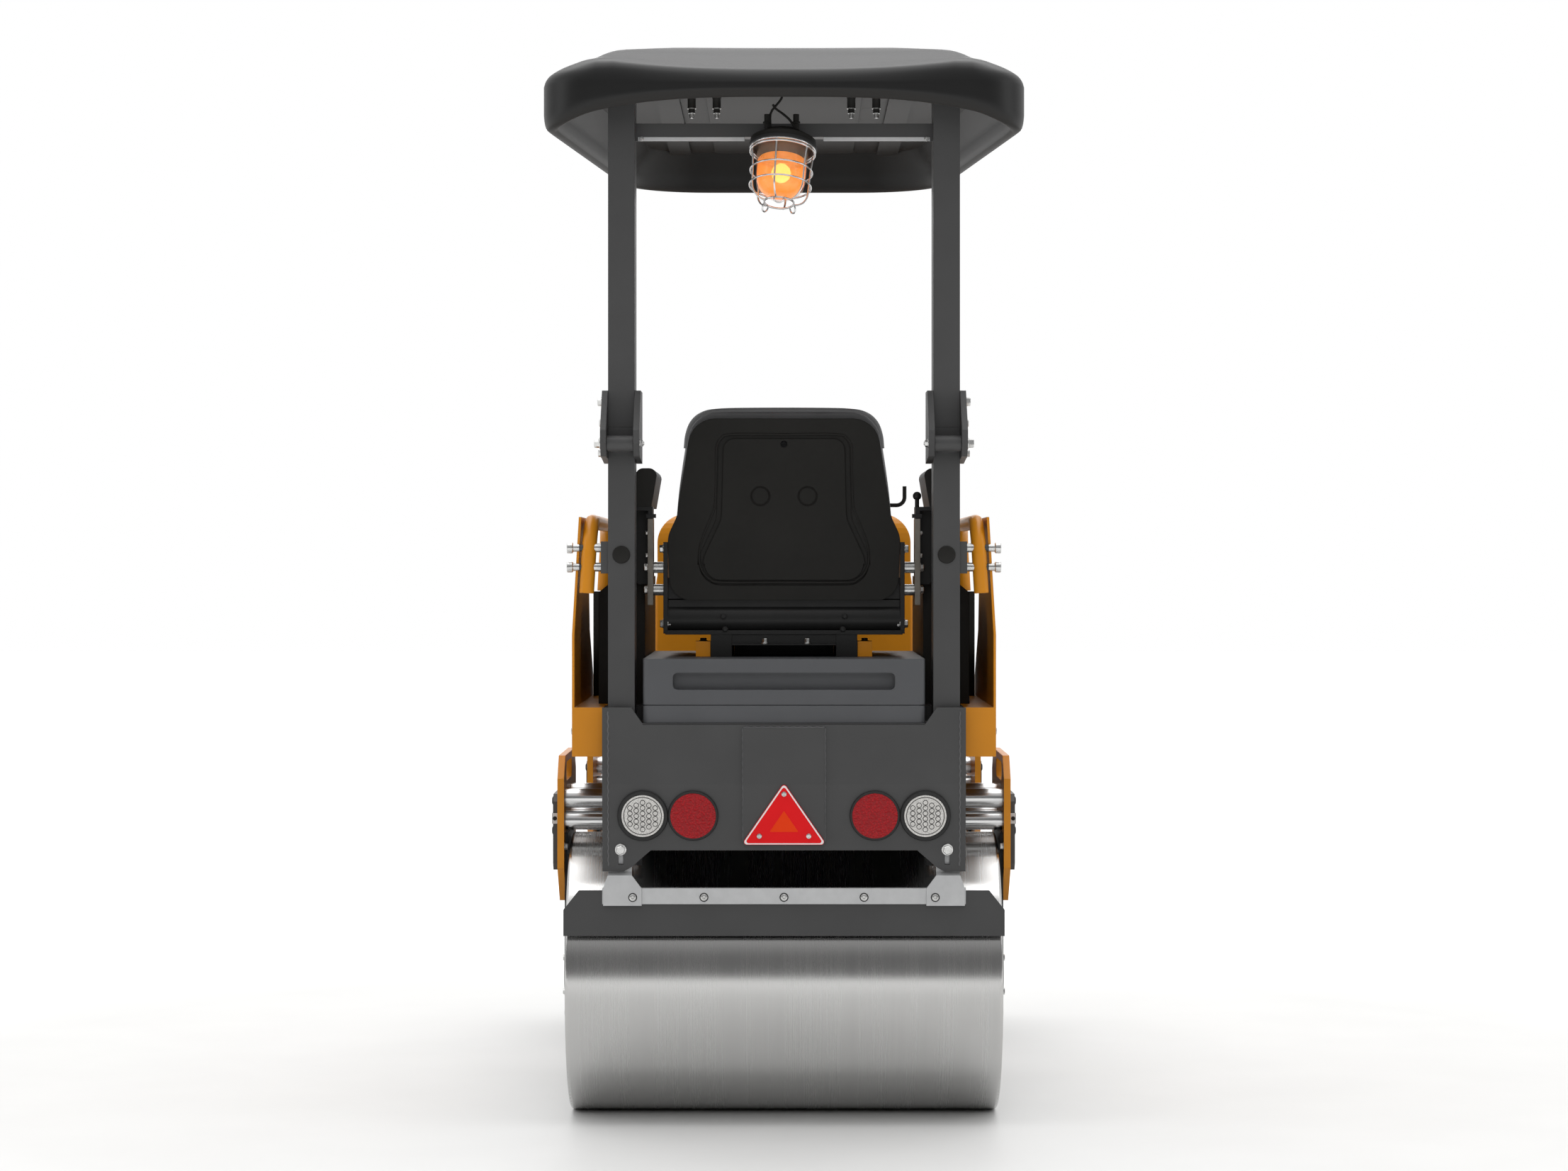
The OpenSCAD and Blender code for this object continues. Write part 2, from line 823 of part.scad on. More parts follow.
module rear_plate() {
    top = frame_top_z + plate_top_rise;
    color(charcoal) at_rear() {
        end_plate([
            [plate_half_w, top], [plate_shoulder_x, top], [plate_cut_x, frame_top_z - plate_cut_drop]
        ], top - bend_z, [-lamp_x, -reflector_x, reflector_x, lamp_x]);
        bent_sheet(panel_half_w, plate_out_y - panel_t, plate_out_y + overrun, panel_up, panel_down);
    }
}
module warning_triangle() {
    low = sign_top - sign_h;
    color("red") at_rear() on_kick() translate([0, -panel_t, 0]) rotate([90, 0, 0]) linear_extrude(sign_t)
        hull() {
            translate([0, sign_top - 2 * sign_r]) circle(r = sign_r, $fn = 24);
            for (s = [-1, 1])
                translate([s * (sign_half_w - sign_r), low + sign_r]) circle(r = sign_r, $fn = 24);
        }
}
module round_lamp() {
    bar_y(lamp_r, -lamp_proud, plate_t - seat_gap - overrun);
    bar_y(lamp_ring_r, -ring_proud, 0);
}
module lamp_pair(x) {
    on_kick() both() translate([x, 0, -lamp_drop]) round_lamp();
}
module reversing_lamps() {
    color("white") at_rear() lamp_pair(lamp_x);
}
module tail_reflectors() {
    color("darkred") at_rear() lamp_pair(reflector_x);
}
module headlamps() {
    color("white") at_front() lamp_pair(lamp_x);
}

// Water tank under the seat
module water_tank() {
    l = tank_front_y - tank_rear_y;
    mid = tank_rear_y + l / 2;
    color(slate) at_rear() difference() {
        translate([0, mid, frame_top_z]) linear_extrude(tank_h) rounded(2 * tank_half_w, l, tank_edge_r);
        translate([0, tank_rear_y - overrun, frame_top_z + tank_h * slot_z_share]) rotate([-90, 0, 0])
            linear_extrude(slot_deep + overrun) rounded(2 * slot_half_w, slot_h, slot_r);
        difference() {
            translate([0, mid, tank_seam_z]) linear_extrude(tank_seam)
                square([3 * tank_half_w, 2 * l], center = true);
            translate([0, mid, tank_seam_z - tank_seam]) linear_extrude(3 * tank_seam)
                rounded(2 * (tank_half_w - tank_seam), l - 2 * tank_seam, tank_edge_r);
        }
    }
}

// Seat
module seat_frame() {
    link_z = seat_base_z + link_foot;
    color(black) at_rear() {
        both() {
            block([rail_half_w - rail_w / 2, rail_half_w + rail_w / 2], [seat_y, seat_y + cushion_l],
                [tank_top_z, seat_base_z + overrun]);
            block([cheek_x, cheek_x + cheek_t], [seat_y, seat_y + cheek_l],
                [seat_base_z, seat_base_z + cheek_h]);
            block([link_x, link_x + link_t], [seat_y, seat_y + link_w], [link_z, link_z + link_h]);
            block([link_x, armrest_right_x + armrest_w / 2], [seat_y, seat_y + link_w],
                [link_z + link_h - flange_t, link_z + link_h]);
            for (share = spacer_z_shares)
                translate([0, seat_y + link_w / 2, link_z + link_h * share])
                    bar_x(spacer_r, cheek_x, link_x + link_t);
        }
        translate([link_x + link_t / 2, seat_y + link_w / 2, link_z + link_h - overrun]) {
            cylinder(r = knob_stalk_r, h = knob_rise);
            translate([0, 0, knob_rise]) sphere(r = knob_r);
        }
        block([-cheek_x, cheek_x], [seat_y, seat_y + cushion_l], [seat_base_z, seat_base_z + pan_t]);
        translate([0, seat_y + seat_tube_r, seat_base_z + seat_tube_r]) bar_x(seat_tube_r, -cheek_x, cheek_x);
    }
}
module seat_cushion() {
    front = seat_y + shell_t + back_t;
    l = cushion_l + seat_y - front + 2 * seat_tube_r;
    color(charcoal) at_rear() translate([0, front + l / 2, seat_base_z + pan_t + seat_gap])
        linear_extrude(cushion_h) rounded(2 * cushion_half_w, l, cushion_r);
}
// Right side of the seat back's outline, drawn in from the shell's edge: foot, hip, waist and top
function seat_side(side, end, waist, top_r, foot_r) = let (
    n = seat_arc_n,
    r = shell_bend_r,
    hip_x = shell_half_w - side,
    top_x = shell_half_w - shell_top_in - side,
    waist_x = shell_half_w - shell_waist_in - waist,
    lean = atan((waist_x - top_x) / (shell_h - end - top_r - shell_waist_h)),
    run = hip_x - waist_x - r * (1 - 2 * cos(shell_flare) + cos(lean)),
    hip_z = shell_waist_h + r * (sin(lean) - 2 * sin(shell_flare)) - run / tan(shell_flare)
) concat(
    arc(hip_x - shell_foot_in - foot_r, end + foot_r, foot_r, -90, 0, n),
    arc(hip_x - r, hip_z, r, 0, shell_flare, n),
    arc(waist_x + r * cos(lean), shell_waist_h + r * sin(lean), r, 180 + shell_flare, 180 + lean, n),
    arc(top_x - top_r, shell_h - end - top_r, top_r, lean, 90, n)
);
module seat_backrest() {
    half_w = shell_half_w - shell_waist_in + pad_over;
    color(charcoal) at_rear() translate([0, seat_y + shell_t + back_t - seat_gap, shell_z]) rotate([90, 0, 0])
        linear_extrude(back_t - 2 * seat_gap) polygon(mirrored(concat(
            arc(half_w - pad_foot_r, pad_low + pad_foot_r, pad_foot_r, -90, 0, seat_arc_n),
            [[half_w, shell_waist_h]],
            arc(shell_half_w - shell_top_in + pad_over - pad_top_r, shell_h + pad_rise - pad_top_r, pad_top_r,
                0, 90, seat_arc_n)
        )));
}
module seat_shell() {
    color(black) at_rear() translate([0, seat_y + shell_t, shell_z]) rotate([90, 0, 0]) difference() {
        linear_extrude(shell_t) polygon(mirrored(seat_side(0, 0, 0, shell_top_r, shell_foot_r)));
        translate([0, 0, shell_t - groove_d]) linear_extrude(groove_d + overrun) difference() {
            polygon(mirrored(seat_side(groove_side, groove_end, groove_waist, groove_top_r, shell_foot_r)));
            polygon(mirrored(seat_side(groove_side + groove_w, groove_end + groove_w, groove_waist + groove_w,
                groove_top_r - groove_w, shell_foot_r - groove_w)));
        }
        for (s = [-1, 1]) translate([s * dimple_x, dimple_z, shell_t - dimple_d])
            cylinder(r1 = dimple_r - dimple_d, r2 = dimple_r, h = dimple_d + overrun);
        translate([0, peg_hole_z, -overrun]) cylinder(r = peg_hole_r, h = shell_t + 2 * overrun);
    }
}
module armrest(x) {
    translate([x, seat_y + armrest_l, seat_base_z + link_foot + link_h]) rotate([90, 0, 0])
        linear_extrude(armrest_l) polygon(concat(
            arc(armrest_w - armrest_r, armrest_h - armrest_r, armrest_r, 0, 90, seat_arc_n),
            arc(armrest_r, armrest_h - armrest_r, armrest_r, 90, 180, seat_arc_n),
            [[armrest_taper, 0], [armrest_w, 0]]
        ));
}
module armrests() {
    color(black) at_rear() {
        armrest(armrest_right_x);
        mirror([1, 0, 0]) armrest(armrest_left_x);
    }
}

// Roll bar: fixed lower posts with the fold's sleeves, and the folding frame
module post(z0, z1) {
    difference() {
        block([post_x, post_out_x], [post_rear_y, post_rear_y + post_d], [z0, z1]);
        block([post_x + post_wall, post_out_x - post_wall],
            [post_rear_y + post_wall, post_rear_y + post_d - post_wall], [z0 - overrun, z1 + overrun]);
    }
}
module rops_lower_posts() {
    mid = post_x + post_w / 2;
    color(charcoal) at_rear() both() {
        post(frame_top_z - post_foot, post_joint_z);
        difference() {
            union() {
                translate([0, fold_y, fold_z])
                    bar_x(fold_sleeve_r, post_x + seat_gap, post_out_x - seat_gap);
                block([mid - fold_lug_w / 2, mid + fold_lug_w / 2], [fold_y, post_rear_y + overrun],
                    [fold_z - fold_sleeve_r, fold_z + fold_sleeve_r]);
            }
            translate([0, fold_y, fold_z])
                bar_x(fold_pin_r + run_gap, post_x - overrun, post_out_x + overrun);
        }
        block([post_out_x - overrun, post_out_x + stay_t],
            [panel_rear_y - stay_w / 2, panel_rear_y + stay_w / 2], [stay_z, stay_z + stay_h]);
        for (z = rail_bolt_z) translate([0, panel_rear_y, z]) {
            bar_x(bolt_r, post_out_x, box_out_x + overrun);
            bar_x(bolt_head_r, box_out_x, box_out_x + bolt_head_t);
        }
    }
}
module rops_upper_frame() {
    bar_z = roof_z - crossbar_drop;
    bar_y0 = post_rear_y + (post_d - crossbar_d) / 2;
    color(charcoal) at_rear() {
        both() post(post_joint_z + seat_gap, roof_z);
        block([-post_x - overrun, post_x + overrun], [bar_y0, bar_y0 + crossbar_d],
            [bar_z - crossbar_h, bar_z]);
        both() block([lip_in_x, post_x + overrun], [bar_y0, bar_y0 + lip_t],
            [bar_z - crossbar_h - lip_h, bar_z - crossbar_h + overrun]);
    }
}
module hinge_plate(x) {
    front = post_rear_y + post_d;
    side_plate(x, hinge_t, [
        [fold_y, fold_z - fold_plate_r], [front, post_joint_z - hinge_low],
        [front, post_joint_z + hinge_high],
        [post_rear_y, post_joint_z + hinge_high], [fold_y - fold_plate_r, fold_z + fold_plate_r],
        [fold_y - fold_plate_r, fold_z]
    ]);
}
module rops_hinge_plates() {
    inner = post_x - hinge_t - seat_gap;
    outer = post_out_x + seat_gap;
    color(charcoal) at_rear() both() {
        hinge_plate(inner);
        hinge_plate(outer);
        translate([0, fold_y, fold_z]) bar_x(fold_pin_r, inner, outer + hinge_t);
    }
}

// Canopy: one moulded shell, lofted through rings of its own outline
function canopy_ring(inset) = let (
    rear_r = max(canopy_rear_r - inset, canopy_min_r),
    front_r = max(canopy_front_r - inset, canopy_min_r),
    rear_x = canopy_rear_hw - inset - rear_r,
    front_x = canopy_front_hw - inset - front_r,
    rear_y = inset + rear_r - canopy_rear,
    front_y = canopy_front - inset - front_r,
    n = canopy_arc_n,
    a = arc(rear_x, rear_y, rear_r, -90, 0, n),
    b = arc(front_x, front_y, front_r, 0, 90, n),
    c = arc(-front_x, front_y, front_r, 90, 180, n),
    d = arc(-rear_x, rear_y, rear_r, 180, 270, n)
) concat(a, between(a[n], b[0], canopy_edge_n), b, between(b[n], c[0], canopy_edge_n), c,
    between(c[n], d[0], canopy_edge_n), d, between(d[n], a[0], canopy_edge_n));
// How far a ring's point takes the brow's section: fully at the middle of the rear edge
function brow_at(p, inset) = pow(cos(90 * p[0] / canopy_rear_hw), 2)
    * max(0, 1 - (p[1] + canopy_rear - inset) / canopy_rear_r);
module canopy() {
    rings = [for (row = canopy_rows) [for (p = canopy_ring(row[0])) let (w = brow_at(p, row[0]))
        [p[0], p[1] + w * (row[2] - row[0]), roof_z + row[1] + w * (row[3] - row[1])]]];
    n = len(rings[0]);
    m = len(rings);
    walls = [for (k = [0:m - 2], i = [0:n - 1]) let (j = (i + 1) % n) each [
        [k * n + i, (k + 1) * n + i, (k + 1) * n + j], [k * n + i, (k + 1) * n + j, k * n + j]
    ]];
    underside = [for (i = [0:n - 1]) [i, (i + 1) % n, m * n]];
    crown = [for (i = [0:n - 1]) [(m - 1) * n + (i + 1) % n, (m - 1) * n + i, m * n + 1]];
    mid_y = (canopy_front - canopy_rear) / 2;
    color(charcoal) at_rear() polyhedron(
        points = concat([for (ring = rings) each ring],
            [[0, mid_y, roof_z], [0, mid_y, roof_z + canopy_crown]]),
        faces = concat(walls, underside, crown)
    );
}

// Caged lamp, drawn hanging down from its base
module at_beacon() {
    bar_z = roof_z - crossbar_drop - crossbar_h;
    translate([0, post_rear_y + (post_d - crossbar_d) / 2 - beacon_back, bar_z])
        rotate([-lamp_lean, lamp_roll, 0]) children();
}
module lamp_base() {
    bar_z = roof_z - crossbar_drop - crossbar_h;
    bar_face = post_rear_y + (post_d - crossbar_d) / 2;
    color(black) at_rear() {
        at_beacon() rotate_extrude() polygon([
            [0, 0], [beacon_neck_r, 0], [beacon_r, -beacon_base_h / 2], [beacon_r, -beacon_base_h],
            [0, -beacon_base_h]
        ]);
        block([-beacon_neck_r / 2, beacon_neck_r / 2], [bar_face - beacon_back, bar_face],
            [bar_z, bar_z + crossbar_h / 2]);
        translate([0, bar_face - beacon_back, roof_z]) {
            for (x = gland_x_list) {
                translate([x, 0, -gland_foot]) cylinder(r = gland_r, h = gland_foot - gland_drop);
                translate([x, 0, -gland_nut_drop]) cylinder(r = gland_nut_r, h = gland_nut_h);
            }
            lead([for (p = lead_route) [p[0], 0, p[1]]]);
            lead([for (p = branch_route) [p[0], -lead_apart, p[1]]]);
            translate([lead_route[len(lead_route) - 1][0], 0, -grommet_h])
                cylinder(r = grommet_r, h = grommet_h - seat_gap);
        }
    }
}
// Round lead along points in an upright plane across the roller
module lead(points) {
    n = len(points);
    k = lead_sides;
    rings = [for (i = [0:n - 1]) let (
        along = points[min(i + 1, n - 1)] - points[max(i - 1, 0)],
        side = cross(along, [0, 1, 0]) / norm(along)
    ) each [for (j = [0:k - 1]) let (a = 360 * j / k)
        points[i] + lead_r * (cos(a) * side + sin(a) * [0, 1, 0])]];
    walls = [for (i = [0:n - 2], j = [0:k - 1]) let (q = (j + 1) % k) each [
        [i * k + j, i * k + q, (i + 1) * k + q], [i * k + j, (i + 1) * k + q, (i + 1) * k + j]
    ]];
    polyhedron(
        points = rings,
        faces = concat(walls, [[for (j = [k - 1:-1:0]) j]], [[for (j = [0:k - 1]) (n - 1) * k + j]])
    );
}
module lamp_lens() {
    color("orange") at_rear() at_beacon() translate([0, 0, -beacon_base_h]) rotate([180, 0, 0]) {
        cylinder(r = beacon_lens_r, h = beacon_lens_h - beacon_lens_r);
        translate([0, 0, beacon_lens_h - beacon_lens_r]) sphere(r = beacon_lens_r);
    }
}
module ring(r, wire) {
    rotate_extrude() translate([r, 0]) circle(r = wire, $fn = 16);
}
module lamp_cage() {
    cage_r = beacon_r - beacon_wire_r;
    rib_x = cage_r + beacon_wire_r;
    w = 2 * beacon_rib_r;
    top = -beacon_base_h - beacon_wire_r;
    color(bright) at_rear() at_beacon() translate([0, 0, top]) rotate([180, 0, 0]) {
        ring(cage_r, beacon_wire_r);
        for (share = beacon_ring_shares)
            translate([0, 0, beacon_cage_h * share]) ring(cage_r, beacon_wire_r);
        translate([0, 0, beacon_cage_h]) ring(beacon_ring_r, beacon_wire_r);
        for (i = [0:beacon_ribs - 1]) rotate([90, 0, 360 * i / beacon_ribs])
            linear_extrude(w, center = true) intersection() {
                difference() {
                    rounded(2 * rib_x + w, 2 * beacon_cage_h + w, beacon_bend_r + w / 2);
                    rounded(2 * rib_x - w, 2 * beacon_cage_h - w, beacon_bend_r - w / 2);
                }
                translate([beacon_ring_r, 0]) square([rib_x, 2 * beacon_cage_h]);
            }
    }
}

// Side panels: a bent sheet on a box, cut to its slanted outline
module side_panels() {
    low = frame_top_z - box_drop;
    top = frame_top_z + box_rise;
    knee = top + sheet_knee;
    high = top + sheet_top;
    color(yellow) at_rear() both() {
        difference() {
            block([box_in_x, box_out_x], [panel_rear_y, panel_front_y], [low, top]);
            block([box_in_x - overrun, box_out_x - sheet_t],
                [panel_rear_y + sheet_t, panel_front_y - sheet_t], [low - overrun, top - sheet_t]);
        }
        difference() {
            intersection() {
                cross_plate(panel_rear_y, panel_front_y - panel_rear_y, [
                    [box_out_x - sheet_t, top - overrun], [box_out_x, top - overrun], [box_out_x, knee],
                    [box_out_x - sheet_lean_x, high], [box_out_x - sheet_lean_x - sheet_t, high],
                    [box_out_x - sheet_t, knee]
                ]);
                side_plate(box_in_x, box_out_x, [
                    [panel_rear_y, top - overrun], [panel_rear_y, high], [sheet_top_y, high],
                    [sheet_slope_y, top + sheet_slope], [panel_front_y, top - overrun]
                ]);
            }
            rail_bolt_holes();
        }
    }
}
module rail_bolt_holes() {
    for (z = rail_bolt_z)
        translate([0, panel_rear_y, z]) bar_x(bolt_r + run_gap, box_in_x, 2 * box_out_x);
}
module grab_rails() {
    top = rail_rise - rail_bend_r;
    color(yellow) at_rear() both() difference() {
        translate([rail_x, 0, rail_foot_z]) rotate([0, -rail_lean, 0]) {
            translate([0, panel_rear_y, 0]) cylinder(r = rail_r, h = top);
            translate([0, rail_far_y, 0]) cylinder(r = rail_r, h = top);
            translate([0, panel_rear_y + rail_bend_r, top]) rotate([0, -90, 0]) rotate([0, 0, -90])
                rotate_extrude(angle = 90) translate([rail_bend_r, 0]) circle(r = rail_r);
            translate([0, rail_far_y - rail_bend_r, top]) rotate([0, -90, 0])
                rotate_extrude(angle = 90) translate([rail_bend_r, 0]) circle(r = rail_r);
            translate([0, 0, rail_rise]) bar_y(rail_r, panel_rear_y + rail_bend_r, rail_far_y - rail_bend_r);
        }
        rail_bolt_holes();
    }
}
module side_consoles() {
    low = frame_top_z + box_rise;
    color(black) at_rear() both() {
        cross_plate(console_rear_y, console_front_y - console_rear_y, [
            [console_x, low], [console_out_x, low], [console_out_x, low + console_step],
            [console_out_x - console_chamfer, low + console_h], [console_x, low + console_h]
        ]);
        block([pedestal_in_x, pedestal_out_x], [rail_far_y - pedestal_w / 2, rail_far_y + pedestal_w / 2],
            [low, rail_foot_z - rail_r * sin(rail_lean) - seat_gap]);
    }
}

// Deck, steering column and wheel
module floor_deck() {
    inner = frame_in_x - seat_gap;
    low = deck_top_z - deck_t + seat_gap;
    color(charcoal) at_rear() {
        block([-inner, inner], [deck_rear_y, deck_front_y], [low, deck_top_z]);
        block([-deck_half_w, deck_half_w], [deck_side_y, deck_front_y], [low, deck_top_z]);
    }
}
module at_wheel() {
    translate([0, wheel_foot_y, wheel_foot_z]) rotate([wheel_tilt, 0, 0]) children();
}
module steering_column() {
    top = deck_top_z + column_h;
    color(black) at_rear() {
        side_plate(-column_half_w, 2 * column_half_w, [
            [column_foot_y, deck_top_z], [column_foot_y + column_foot_l, deck_top_z],
            [column_top_y + column_top_l, top + overrun], [column_top_y, top + overrun]
        ]);
        block([-dash_half_w, dash_half_w], [wheel_foot_y - dash_l / 2, wheel_foot_y + dash_l / 2],
            [top, top + dash_h]);
        at_wheel() translate([0, 0, -dash_h / 2]) cylinder(r = wheel_shaft_r, h = wheel_shaft_l + dash_h / 2);
        translate([0, wheel_foot_y, top + dash_h - lever_drop]) drive_lever();
    }
}
// Cranked lever: out of the dash's right end, up past the wheel, out again and up to its tip
module drive_lever() {
    b = lever_bend_r;
    high = lever_drop + lever_rise;
    tip_x = lever_x + lever_throw;
    bar_x(lever_r, dash_half_w - overrun, lever_x - b);
    lever_elbow(lever_x - b, b, -90);
    translate([lever_x, 0, b]) cylinder(r = lever_r, h = high - 2 * b);
    lever_elbow(lever_x + b, high - b, 90);
    translate([0, 0, high]) bar_x(lever_r, lever_x + b, tip_x - b);
    lever_elbow(tip_x - b, high + b, -90);
    translate([tip_x, 0, high + b]) cylinder(r = lever_r, h = lever_tip - b);
}
module lever_elbow(x, z, from) {
    translate([x, 0, z]) rotate([90, 0, 0]) rotate([0, 0, from])
        rotate_extrude(angle = 90) translate([lever_bend_r, 0]) circle(r = lever_r, $fn = 24);
}
module steering_wheel() {
    color(black) at_rear() at_wheel() translate([0, 0, wheel_shaft_l - wheel_hub_h]) difference() {
        union() {
            cylinder(r = wheel_hub_r, h = wheel_hub_h + overrun);
            translate([0, 0, wheel_hub_h + wheel_dish]) ring(wheel_r, wheel_rim_r);
            for (i = [0:2]) rotate([0, 0, 120 * i + 90]) translate([0, 0, wheel_hub_h / 2])
                rotate([0, atan2(wheel_r, wheel_dish + wheel_hub_h / 2), 0])
                cylinder(r = wheel_spoke_r, h = norm([wheel_r, wheel_dish + wheel_hub_h / 2]));
        }
        translate([0, 0, -overrun])
            cylinder(r = wheel_shaft_r + run_gap, h = wheel_hub_h + run_gap + overrun);
    }
}

// Front frame with the tongue, the front plate, the tow lug and the hood hinge
module steer_ears() {
    translate([-steer_lever, pivot_y, 0]) {
        for (z = [steer_z - ear_gap / 2 - ear_t, steer_z + ear_gap / 2]) {
            translate([0, 0, z]) cylinder(r = ear_r, h = ear_t);
            block([0, steer_lever - pivot_r - swing_gap], [-ear_r, ear_r], [z, z + ear_t]);
        }
        translate([0, 0, steer_z - ear_gap / 2 - ear_t]) cylinder(r = eye_pin_r, h = ear_gap + 2 * ear_t);
    }
}
module front_frame() {
    sheet_low_z = front_top_z - front_top_t;
    color(charcoal) at_front() {
        frame_sides([
            [kick_y(frame_low_z) - overrun, frame_low_z], [plate_in_y - overrun, bend_z],
            [plate_in_y - overrun, sheet_low_z + overrun],
            [hood_rear_y, sheet_low_z + overrun], [hood_rear_y, sheet_low_z - hood_tail_h],
            [cross_y + cross_t, tongue_low_z], [cross_y, tongue_low_z]
        ]);
        block([-frame_half_w, frame_half_w], [plate_in_y - overrun, hood_rear_y], [sheet_low_z, front_top_z]);
        block([-frame_half_w, frame_half_w], [cross_y, cross_y + cross_t], [tongue_low_z, front_top_z]);
        difference() {
            union() {
                block([-tongue_half_w, tongue_half_w], [cross_y, pivot_y], [tongue_low_z, tongue_high_z]);
                translate([0, pivot_y, tongue_low_z])
                    cylinder(r = tongue_half_w, h = tongue_high_z - tongue_low_z);
                steer_ears();
            }
            translate([0, pivot_y, tongue_low_z - overrun])
                cylinder(r = pivot_r + run_gap, h = tongue_high_z - tongue_low_z + 2 * overrun);
        }
        end_plate([[plate_half_w, front_top_z]], front_top_z - bend_z, [-lamp_x, lamp_x]);
        tow_lug();
        both() hinge_lug();
    }
}
module tow_lug() {
    y = plate_out_y - lug_reach + lug_r;
    difference() {
        union() {
            translate([0, y, lug_z]) bar_x(lug_r, -lug_half_t, lug_half_t);
            block([-lug_half_t, lug_half_t], [y, plate_out_y + plate_t / 2], [lug_z - lug_r, lug_z + lug_r]);
        }
        translate([0, y, lug_z]) bar_x(lug_bore_r, -lug_half_t - overrun, lug_half_t + overrun);
    }
}
module hinge_lug() {
    out = hinge_x + hinge_barrel_l;
    block([out + seat_gap, out + hinge_barrel_r], [plate_out_y, plate_in_y],
        [front_top_z - overrun, hinge_axis_z]);
    translate([0, hinge_axis_y, hinge_axis_z]) {
        bar_x(hinge_barrel_r, out + seat_gap, out + hinge_barrel_r);
        bar_x(hinge_pin_r, hinge_x, out + hinge_barrel_r);
    }
}
module engine_block() {
    color(slate) at_front() block([-engine_half_w, engine_half_w],
        [engine_front_y, engine_front_y + engine_l], [front_top_z, front_top_z + engine_h]);
}

// Hood: a hollow cover rounded along its top, with louvres and a grille
module hood_form(inset) {
    w = 2 * (hood_half_w - inset);
    top = hood_base_z + hood_h - inset;
    nose = top - hood_fall;
    front = hood_front_y + inset;
    rear = hood_rear_y - inset;
    low = hood_base_z - (inset > 0 ? overrun : 0);
    intersection() {
        side_plate(-hood_half_w, 2 * hood_half_w, concat(
            [[front, low]],
            arc(front + hood_nose_r, nose - hood_nose_r, hood_nose_r, 180, 90 + hood_lean, hood_arc_n),
            arc(rear - hood_back_r, top - hood_back_r, hood_back_r, 90 + hood_lean, 0, hood_arc_n),
            [[rear, low]]
        ));
        translate([0, rear + overrun, (low + top) / 2]) rotate([90, 0, 0])
            linear_extrude(rear - front + 2 * overrun) translate([0, -hood_edge_r])
            rounded(w, top - low + 2 * hood_edge_r, hood_edge_r);
    }
}
module hood() {
    color(yellow) at_front() {
        difference() {
            hood_form(0);
            hood_form(hood_t);
            block([-grille_half_w, grille_half_w], [hood_front_y - overrun, hood_front_y + 2 * hood_t],
                [hood_base_z + grille_low, hood_base_z + grille_low + grille_h]);
            for (i = [0:louvre_count - 1])
                translate([0, 0, hood_base_z + louvre_z + i * louvre_pitch])
                    block([-2 * hood_half_w, 2 * hood_half_w], [0, louvre_l], [0, louvre_h]);
        }
        both() hood_knuckle();
    }
}
module hood_knuckle() {
    out = hinge_x + hinge_barrel_l;
    difference() {
        union() {
            translate([0, hinge_axis_y, hinge_axis_z]) bar_x(hinge_barrel_r, hinge_x, out);
            block([hinge_x, out], [hinge_axis_y, hood_front_y + hood_t],
                [hinge_axis_z, hinge_axis_z + hinge_barrel_r]);
        }
        translate([0, hinge_axis_y, hinge_axis_z])
            bar_x(hinge_pin_r + run_gap, hinge_x - overrun, out + overrun);
    }
}
module hood_grille() {
    low = hood_base_z + grille_low;
    step = grille_h / grille_bars;
    color(black) at_front() {
        for (s = [-1, 1])
            block([s * (grille_half_w - grille_bar_t / 2) - grille_bar_t / 2,
                s * (grille_half_w - grille_bar_t / 2) + grille_bar_t / 2],
                [hood_front_y, hood_front_y + hood_t], [low, low + grille_h]);
        for (i = [0:grille_bars - 1])
            block([-grille_half_w, grille_half_w], [hood_front_y, hood_front_y + hood_t],
                [low + i * step, low + i * step + grille_bar_t]);
        block([-grille_half_w, grille_half_w], [hood_front_y, hood_front_y + hood_t],
            [low + grille_h - grille_bar_t, low + grille_h]);
    }
}

// Steering cylinder: the barrel on the rear frame, the rod reaching for the tongue's pin
module steer_barrel() {
    start = cross_y + cross_t;
    color(charcoal) at_rear() translate([steer_x, 0, steer_z]) difference() {
        bar_y(barrel_r, start, start + barrel_foot + barrel_l);
        bar_y(rod_r + run_gap, start + barrel_foot, start + barrel_foot + barrel_l + overrun);
    }
}
module steer_rod() {
    start = cross_y + cross_t + barrel_foot + barrel_l - rod_tail;
    color(bright) at_rear() translate([steer_x, 0, steer_z]) difference() {
        union() {
            bar_y(rod_r, start, pivot_y - eye_bore_r - overrun);
            translate([0, pivot_y, -eye_h / 2]) cylinder(r = eye_r, h = eye_h);
        }
        translate([0, pivot_y, -eye_h]) cylinder(r = eye_bore_r, h = 2 * eye_h);
    }
}

rear_frame();
rear_plate();
warning_triangle();
reversing_lamps();
tail_reflectors();
water_tank();
seat_frame();
seat_cushion();
seat_backrest();
seat_shell();
armrests();
rops_lower_posts();
side_panels();
grab_rails();
side_consoles();
floor_deck();
steering_column();
rear_fork_plates();
rear_fork_tubes();
rear_fork_caps();
rear_axle_brackets();
rear_scraper_blade();
rear_scraper_bar();
rear_drum();
steering_wheel();
rops_upper_frame();
rops_hinge_plates();
canopy();
lamp_base();
lamp_lens();
lamp_cage();
front_frame();
headlamps();
front_fork_plates();
front_fork_tubes();
front_fork_caps();
front_axle_brackets();
front_scraper_blade();
front_scraper_bar();
engine_block();
hood();
hood_grille();
front_drum();
steer_barrel();
steer_rod();
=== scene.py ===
import json
import math

import bmesh
import bpy
from mathutils import Matrix, Vector


